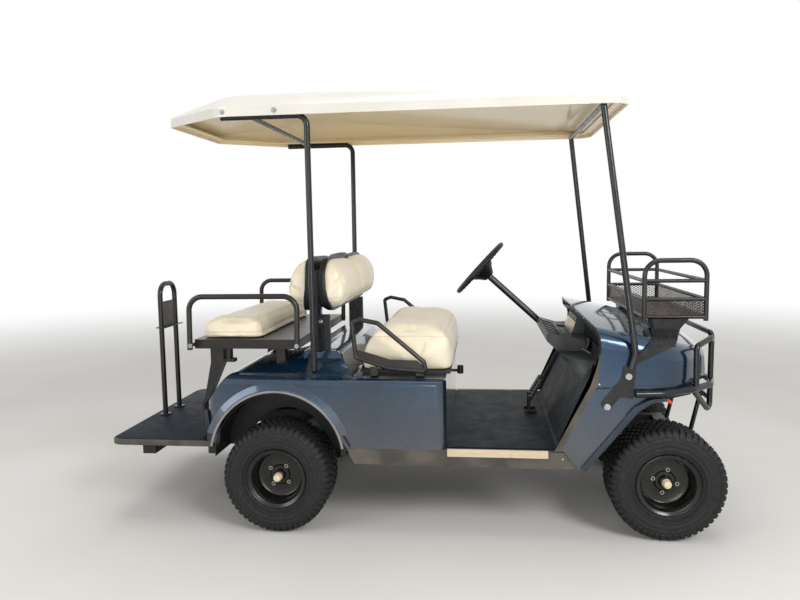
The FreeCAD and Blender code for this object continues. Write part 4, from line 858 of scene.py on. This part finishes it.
def basketSides():
    back, front, half, low, rim = (basketValues[key] for key in ("back", "front", "half", "floor", "rim"))
    high, middle = rim - low - 4, (low + rim) / 2
    parts = [move(rotate(expandedMesh(front - back - 12, high), 90, "X"), at((back + front) / 2, y, middle))
             for y in (-half, half)]
    parts += [move(rotate(rotate(expandedMesh(2 * half - 12, high), 90, "X"), 90, "Z"), at(x, 0, middle))
              for x in (back, front)]
    return gather(parts)


def basketFloor():
    back, front, half, low = (basketValues[key] for key in ("back", "front", "half", "floor"))
    sheet = rotate(rotate(expandedMesh(2 * half - 12, front - back - 12), 180, "X"), 90, "Z")
    return move(sheet, at((back + front) / 2, 0, low + 4))


addPiece("basket_tubes", basketTubes(), "frameCoat", 60, ["basket"])
addPiece("basket_mesh_sides", basketSides(), "mesh", 30)
addPiece("basket_mesh_floor", basketFloor(), "mesh", 30)
print("basket done")

# Steering wheel: foam rim with finger grips, three pressed spokes and a padded hub
steeringValues = {
    "spot": (frontAxle - 778, 262, 1112), "tilt": 42.5, "rim": 165, "thick": 12,
    "grips": 40, "scallop": 2.2,  # finger grips on the far side of the rim and their depth
    "pad": [(0, 3), (30, 2), (52, -3), (66, -9), (70, -15), (66, -22), (50, -38), (37, -56), (30, -66),
            (26, -69), (0, -69)],
    "button": [(0, 5), (14, 4.4), (19, 2.6), (20, 0), (20, -4)],
    "spoke": [(20, -34, 4), (110, -15, 30), (164, -15), (164, 15), (110, 15, 30), (20, 34, 4)],
    "spokes": (60, 180, 300), "dish": -5.5,
}


def steeringWheel():
    rim, reach, thick = bmesh.new(), steeringValues["rim"] / 1000, steeringValues["thick"] / 1000
    spin(rim, [rim.verts.new((reach, 0, thick))], (reach, 0, 0), (0, 1, 0), 12)
    spin(rim, rim.verts[:] + rim.edges[:], (0, 0, 0), (0, 0, 1), 160)
    bmesh.ops.remove_doubles(rim, verts=rim.verts, dist=1e-6)
    for vertex in rim.verts:
        if vertex.co.z < 0:
            wave = math.cos(steeringValues["grips"] * math.atan2(vertex.co.y, vertex.co.x))
            vertex.co.z += steeringValues["scallop"] / 1000 * (0.5 + 0.5 * wave)
    pad, button = turned(steeringValues["pad"], 48), turned(steeringValues["button"], 32)
    return gather([outward(rim), pad, button])


def steeringSpokes():
    parts = []
    for turn in steeringValues["spokes"]:
        spoke = move(slab(steeringValues["spoke"], "Z", -20, -12, 2.4, 2), (rearAxle / 1000, 0, 0))
        parts.append(rotate(rotate(spoke, steeringValues["dish"], "Y"), turn, "Z"))
    return gather(parts)


lean = math.radians(steeringValues["tilt"])
hub, driverWay = steeringValues["spot"], (-math.cos(lean), 0, math.sin(lean))
wheel, body = aim(steeringWheel(), hub, driverWay), "steering_wheel_body"
addPiece("foam_steering_wheel", wheel, "foam", 45, ["steering_wheel"], body)
addPiece("steering_spokes", aim(steeringSpokes(), hub, driverWay), "strutCoat", 30, body=body)
print("steering wheel done")

# Bolts and rivets of one side: place and radius
bodySide = -578.3
boltValues = {
    "bolts": [((1490, bodySide - 6.2, 708), 8.5), ((1406, bodySide - 6.2, 581), 8.5),
              ((-196, -556, 1826), 7), ((32, -556, 1826), 7), ((-393, -527.2, 818), 6.5),
              ((92, -527.2, 818), 6.5), ((181, -439.2, 916), 7)],
    "rivets": [((1374, bodySide + 0.2, 672), 5), ((1230, -571.4, 351), 5)],
    "head": 5, "washer": 1.6,
}


def bolt(spot, radius):
    high, washer = boltValues["head"], boltValues["washer"]
    head = cone(6, radius, radius * 0.94, high, Matrix.Translation((0, 0, (high / 2 + washer) / 1000)))
    ring = cone(24, radius * 1.6, radius * 1.55, washer + 1, Matrix.Translation((0, 0, (washer - 1) / 2000)))
    return aim(gather([head, ring]), spot, (0, -1, 0))


def rivet(spot, way, radius, high=2.2):
    dome = [(0, high), (radius * 0.5, high * 0.9), (radius * 0.85, high * 0.55), (radius, 0), (radius, -0.8)]
    return aim(turned(dome, 16), spot, way)


fixings = [bolt(spot, size) for spot, size in boltValues["bolts"]]
fixings += [rivet(spot, (0, -1, 0), size) for spot, size in boltValues["rivets"]]
addPiece("side_bolts", bothSides(fixings), "zinc", 30)
print("bolts done")

# Dash: the moulding with its pockets and shelf slots, a slanted instrument face, key, knobs and edge trim
dashValues = {
    "foot": (1312, 815), "slope": 20,  # where the instrument face starts and its slope from upright, degrees
    "console": 300,  # half width of the shelf
    "slots": (-240, -160, -80, 0, 80, 160),  # middles of the shelf slots
    "knobs": ((-20, 912, 8), (28, 912, 8), (80, 914, 12)),  # across, up, radius
    "key": [(-102, 906, 2), (-88, 906, 2), (-84, 926, 6), (-106, 926, 6)],
    "rivets": (44, 54, 64, 74, 84),  # degrees up from the side, seen from the middle of the dash
    "edge": [(1193, 386), (1258, 516), (1318, 634), (1339, 668), (1360, 734), (1373, 796)],  # of the cowl
    "trim": 30,  # its width at the sill
}
footX, footZ = dashValues["foot"]
console = dashValues["console"]
plateFace = footX - 0.4


def cleanNode(name):
    mesh = bmesh.new()
    mesh.from_mesh(nodes[name].data)
    bmesh.ops.remove_doubles(mesh, verts=mesh.verts, dist=1e-6)
    return outward(mesh)


def slanted(mesh):
    return rotate(mesh, dashValues["slope"], "Y", at(footX, 0, footZ))


def facePlate(points):
    return slab(points, "X", plateFace - 2.2, plateFace + 1, 0.6, 1)


def onFace(profile, steps, y, z, out=2.0):
    return aim(turned(profile, steps), (plateFace - out, y, z), (-1, 0, 0))


tools = [slab([(1270, footZ), (footX, footZ), (1364, 958), (1270, 958)], "Y", -152, 152)]
for sign in (1, -1):
    inner, outer = sign * console, sign * 600
    tools.append(slab([(1376, inner, 14), (1376, outer), (1120, outer), (1120, inner)], "Z", 764, 850))
    tools.append(slab([(1120, inner), (1190, inner, 20), (1294, sign * 560), (1294, outer), (1120, outer)],
                      "Z", 690, 850))
tools += [slab(box(1193, y - 24, 1258, y + 24, 10), "Z", 806, 850) for y in dashValues["slots"]]
moulding = joined(cleanNode("dash"), tools, "DIFFERENCE")
moulding = gather([moulding, slab(box(-570, 640, 570, 812), "X", 1384, 1387)])
rimFace = BVHTree.FromBMesh(moulding)
addPiece("dash_moulding", moulding, "dash", 30, ["dash"])

addPiece("instrument_plate", slanted(facePlate(box(-140, 822, 140, 878, 5))), "plate", 30)
switchBoard = [facePlate([(-140, 884, 5), (140, 884, 5), (140, 944, 8), (-140, 944, 8)])]
for y, z, size in dashValues["knobs"]:
    knob = [(0, 9), (size * 0.7, 8.6), (size, 6), (size + 2, 0), (size + 2, -1)]
    switchBoard.append(onFace(knob, 24, y, z))
addPiece("switch_board", slanted(gather(switchBoard)), "foam", 30)
key = slab(dashValues["key"], "X", plateFace - 24, plateFace - 14, 1.8, 2)
addPiece("key_grip", slanted(key), "marker", 30)
metalBits = [onFace([(0, 14), (6, 14), (7, 12), (7, 4), (12, 3), (13, 0), (13, -1)], 24, -95, 914),
             onFace([(0, 18), (2.2, 17), (2.6, 6), (5, 5), (5, 0)], 16, -58, 912)]
metalBits += [onFace([(0, 1.6), (2, 1.3), (3, 0), (3, -0.6)], 12, y, z, 2.2)
              for y in (-134, 134) for z in (828, 872, 890, 938)]
addPiece("key_switch", slanted(gather(metalBits)), "zinc", 30)
rods = pipe([(1334, -350, 784), (1365, -400, 770)], 2.6)
addPiece("pocket_rods", bothSides([rods]), "zinc", 60)

# Rivets along the arched rim, each 9 mm inside the last place where a level line still meets the moulding
rivets = []
for angle in dashValues["rivets"]:
    way = Vector((0, math.cos(math.radians(angle)), math.sin(math.radians(angle))))
    for reach in range(620, 200, -2):
        y, z = way.y * reach, 560 + way.z * reach
        spot = rimFace.ray_cast(at(1100, y - 9 * way.y, z - 9 * way.z), (1, 0, 0), 0.35)[0]
        if spot and rimFace.ray_cast(at(1100, y, z), (1, 0, 0), 0.35)[0]:
            rivets.append(rivet(placeOf(spot), (-1, 0, 0), 4.5, 2))
            break
addPiece("dash_rivets", bothSides(rivets), "zinc", 40)

# Grey trim on the cowl's edge, wide at the sill and narrow under the dash
band = [(x - 1.5, z, 1.5) for x, z in dashValues["edge"]]
band += [(x + dashValues["trim"] * min(1, max(0.12, (805 - z) / 130)), z, 1.5)
         for x, z in reversed(dashValues["edge"])]
addPiece("cowl_edge_trim", bothSides([slab(band, "Y", -580.4, -576.8, 1.6, 2)]), "sill", 40)
print("dash done")

# Pedal pads with raised ribs
pedalValues = {"pads": ((150, 70), (60, 50)), "ribs": 6, "pitch": 18, "wide": 9, "low": 466, "slope": 30}
ribs = []
for y, wide in pedalValues["pads"]:
    left, right = y - wide / 2 + 6, y + wide / 2 - 6
    for count in range(pedalValues["ribs"]):
        low = pedalValues["low"] + pedalValues["pitch"] * count
        high = low + pedalValues["wide"]
        rib = slab(box(left, low, right, high, 2), "X", frontAxle - 537, frontAxle - 533.5, 0.8, 1)
        ribs.append(rotate(rib, pedalValues["slope"], "Y", at(frontAxle - 534, y, 455)))
addPiece("pedal_ribs", gather(ribs), "pedal", 30)

# Step board behind the cart: steel pan with a rubber mat, corners rounded
stepValues = {"back": rearAxle - 1357, "front": rearAxle - 869, "half": 517, "corner": 52, "margin": 9,
              "pan": (355, 381.4), "mat": (380.6, 384)}


def stepPlan(back, front, half, corner):
    return [(back, -half, corner), (front, -half, 8), (front, half, 8), (back, half, corner)]


back, front, half = (stepValues[key] for key in ("back", "front", "half"))
corner, margin = stepValues["corner"], stepValues["margin"]
pan = slab(stepPlan(back, front, half, corner), "Z", *stepValues["pan"], 3.5, 3)
mat = slab(stepPlan(back + margin, front - 2, half - margin, corner - 6), "Z", *stepValues["mat"], 1.2, 2)
addPiece("step_pan", pan, "sill", 40, ["foot_platform"])
addPiece("step_mat", mat, "stepMat", 40)
print("step done")

# Fairing that eases the rear deck up to the hump, nose skirts, cowl seams and the ledge of the grab bar
fairingValues = {
    "ramp": [(-170, 692), (-170, 701), (-60, 716, 60), (20, 738, 60), (96, 772, 40), (160, 787.5, 30),
             (262, 787.5, 20), (300, 735, 20), (336, 688), (336, 680)],
    "crest": [(-548, 680), (-548, 686), (-516, 706, 30), (-452, 768, 50), (-404, 788, 60), (404, 788, 60),
              (452, 768, 50), (516, 706, 30), (548, 686), (548, 680)],
    "skirt": [(1560, 566, 10), (1640, 560, 10), (1790, 596, 10), (1790, 652, 6), (1560, 652, 6)],
    "seam": [(1344, 653), (1420, 656), (1420, 659.5), (1344, 656.5)],
    "ledge": box(-761, -102, -711, 122, 4),
}
fairing = shared(slab(fairingValues["ramp"], "Y", -560, 560), slab(fairingValues["crest"], "X", -200, 340))
bmesh.ops.remove_doubles(fairing, verts=fairing.verts, dist=0.0003)
addPiece("deck_fairing", fairing, "blueBody", 50)
skirt = slab(fairingValues["skirt"], "Y", -400, -395, 1.2, 2)
addPiece("nose_skirts", bothSides([skirt]), "shell", 40)
seam = slab(fairingValues["seam"], "Y", -579.4, -577, 0.6, 1)
addPiece("cowl_seams", bothSides([seam]), "shell", 40)
addPiece("grab_ledge", slab(fairingValues["ledge"], "Z", 836, 841, 1.2, 2), "strutCoat", 40)

# Marker lenses on the fender tips
marker = [(frontAxle - 28, 609), (frontAxle - 8, 596, 4), (frontAxle - 4, 607, 5), (frontAxle - 16, 620, 4)]
addPiece("fender_markers", bothSides([slab(marker, "Y", -592, -577, 1.5, 1)]), "marker", 30)

# Rear wheel arches: a dark liner inside and a bead along the edge, its light grey a painted highlight
archValues = {
    "middle": (5, 331),
    "liner": [(286, -571), (286, -386), (180, -386)],  # reach from the middle, and across
    "bead": (297.5, -591), "round": 5.5, "rise": 10,  # the bead starts and ends 10 degrees above the middle
}
archX, archZ = archValues["middle"]
archAxis = at(archX, 0, archZ)
liner = bmesh.new()
ends = [liner.verts.new(at(archX + reach, y, archZ)) for reach, y in archValues["liner"]]
lines = [liner.edges.new(ends[:2]), liner.edges.new(ends[1:])]
spin(liner, ends + lines, archAxis, (0, 1, 0), 48, -180)
bmesh.ops.solidify(outward(liner), geom=liner.faces[:], thickness=0.003)
addPiece("arch_liners", bothSides([liner]), "shell", 40)
bead = bmesh.new()
reach, y = archValues["bead"]
bmesh.ops.create_circle(bead, segments=12, radius=archValues["round"] / 1000,
                        matrix=Matrix.Translation(at(archX + reach, y, archZ)))
rotate(bead, -archValues["rise"], "Y", archAxis)
spin(bead, bead.verts[:] + bead.edges[:], archAxis, (0, 1, 0), 60, 2 * archValues["rise"] - 180)
bmesh.ops.holes_fill(bead, edges=[line for line in bead.edges if line.is_boundary], sides=0)
# painted highlight: the bead's light grey is the light caught along the arch's rolled edge
addPiece("arch_edge_beads", bothSides([outward(bead)]), "bead", 50)
print("small pieces done")


# Studio
def seenRays(owner):
    # 1 for rays that look at a place, straight or by way of a mirror or glass, and 0 for those that light it
    rays = addNode(owner, "LightPath").outputs
    seen = combine(owner, "MAXIMUM", rays["Is Camera Ray"], rays["Is Glossy Ray"])
    return combine(owner, "MAXIMUM", seen, rays["Is Transmission Ray"])


# painted studio floor: pale grey near the cart, fading to plain white
floorMesh = bmesh.new()
bmesh.ops.create_circle(floorMesh, cap_ends=True, segments=96, radius=40)
floor = newObject("studio_floor", floorMesh)
floor.location.z = -0.001
ground, place = startMaterial("pale studio floor")
distance = addNode(ground, "VectorMath", {0: place}, operation="LENGTH").outputs["Value"]
far = addNode(ground, "MapRange", {"Value": distance, "From Min": 3.0, "From Max": 11.0},
              interpolation_type="SMOOTHSTEP").outputs["Result"]
grey = spread(ground, place, 900, "#d6d4cf", "#dbd9d5")
matt = addNode(ground, "BsdfDiffuse", {"Color": grey}).outputs["BSDF"]
white = addNode(ground, "Emission", {"Color": (1, 1, 1, 1), "Strength": 1.0}).outputs["Emission"]
share = combine(ground, "MULTIPLY", seenRays(ground), far)
mixed = addNode(ground, "MixShader", {0: share, 1: matt, 2: white}).outputs["Shader"]
addNode(ground, "OutputMaterial", {"Surface": mixed})
floor.data.materials.append(ground)

world = bpy.data.worlds.new("studio")
bpy.context.scene.world = world
world.use_nodes = True
world.node_tree.nodes.clear()
strength = ramp(world, seenRays(world), first=0.48, last=1.0)
background = addNode(world, "Background", {"Color": (1, 1, 1, 1), "Strength": strength})
addNode(world, "OutputWorld", {"Surface": background.outputs["Background"]})

lamps = (
    # name, place in metres, size, watts
    ("key", (3.4, -4.2, 3.6), 2.2, 180),
    ("fill", (-3.8, -3.4, 2.2), 2.6, 60),
    ("low", (0.6, -4.6, 1.0), 1.7, 40),
    ("top", (0.0, 1.0, 9.0), 6.0, 260),
)
for name, spot, size, watts in lamps:
    lamp = bpy.data.lights.new(name, "AREA")
    lamp.shape, lamp.size, lamp.energy = "DISK", size, watts
    holder = bpy.data.objects.new(name, lamp)
    holder.location = spot
    holder.rotation_euler = (Vector((0, 0, 0.8)) - Vector(spot)).to_track_quat("-Z", "Y").to_euler()
    holder.visible_camera = False
    bpy.context.scene.collection.objects.link(holder)

# The photograph's camera
viewValues = {
    "place": (0.3519, -3.4714, 1.3092),  # metres
    "yaw": 6.83, "pitch": 5.58, "roll": -0.89,  # degrees
    "focal": 698.8, "width": 800,  # pixels
}
yaw, pitch, roll = (math.radians(viewValues[key]) for key in ("yaw", "pitch", "roll"))
ahead, right = Vector((-math.sin(yaw), math.cos(yaw), 0)), Vector((math.cos(yaw), math.sin(yaw), 0))
up = Vector((0, 0, 1))
forth = math.cos(pitch) * ahead - math.sin(pitch) * up
rise = math.sin(pitch) * ahead + math.cos(pitch) * up
across = math.cos(roll) * right + math.sin(roll) * rise
over = -math.sin(roll) * right + math.cos(roll) * rise
lensData = bpy.data.cameras.new("camera")
lensData.sensor_width = 36
lensData.lens = viewValues["focal"] / viewValues["width"] * lensData.sensor_width
camera = bpy.data.objects.new("camera", lensData)
facing = Matrix((across, over, -forth)).transposed().to_4x4()
camera.matrix_world = Matrix.Translation(viewValues["place"]) @ facing
bpy.context.scene.collection.objects.link(camera)
bpy.context.scene.camera = camera
bpy.context.scene.view_settings.view_transform = "Standard"
print("stage done")
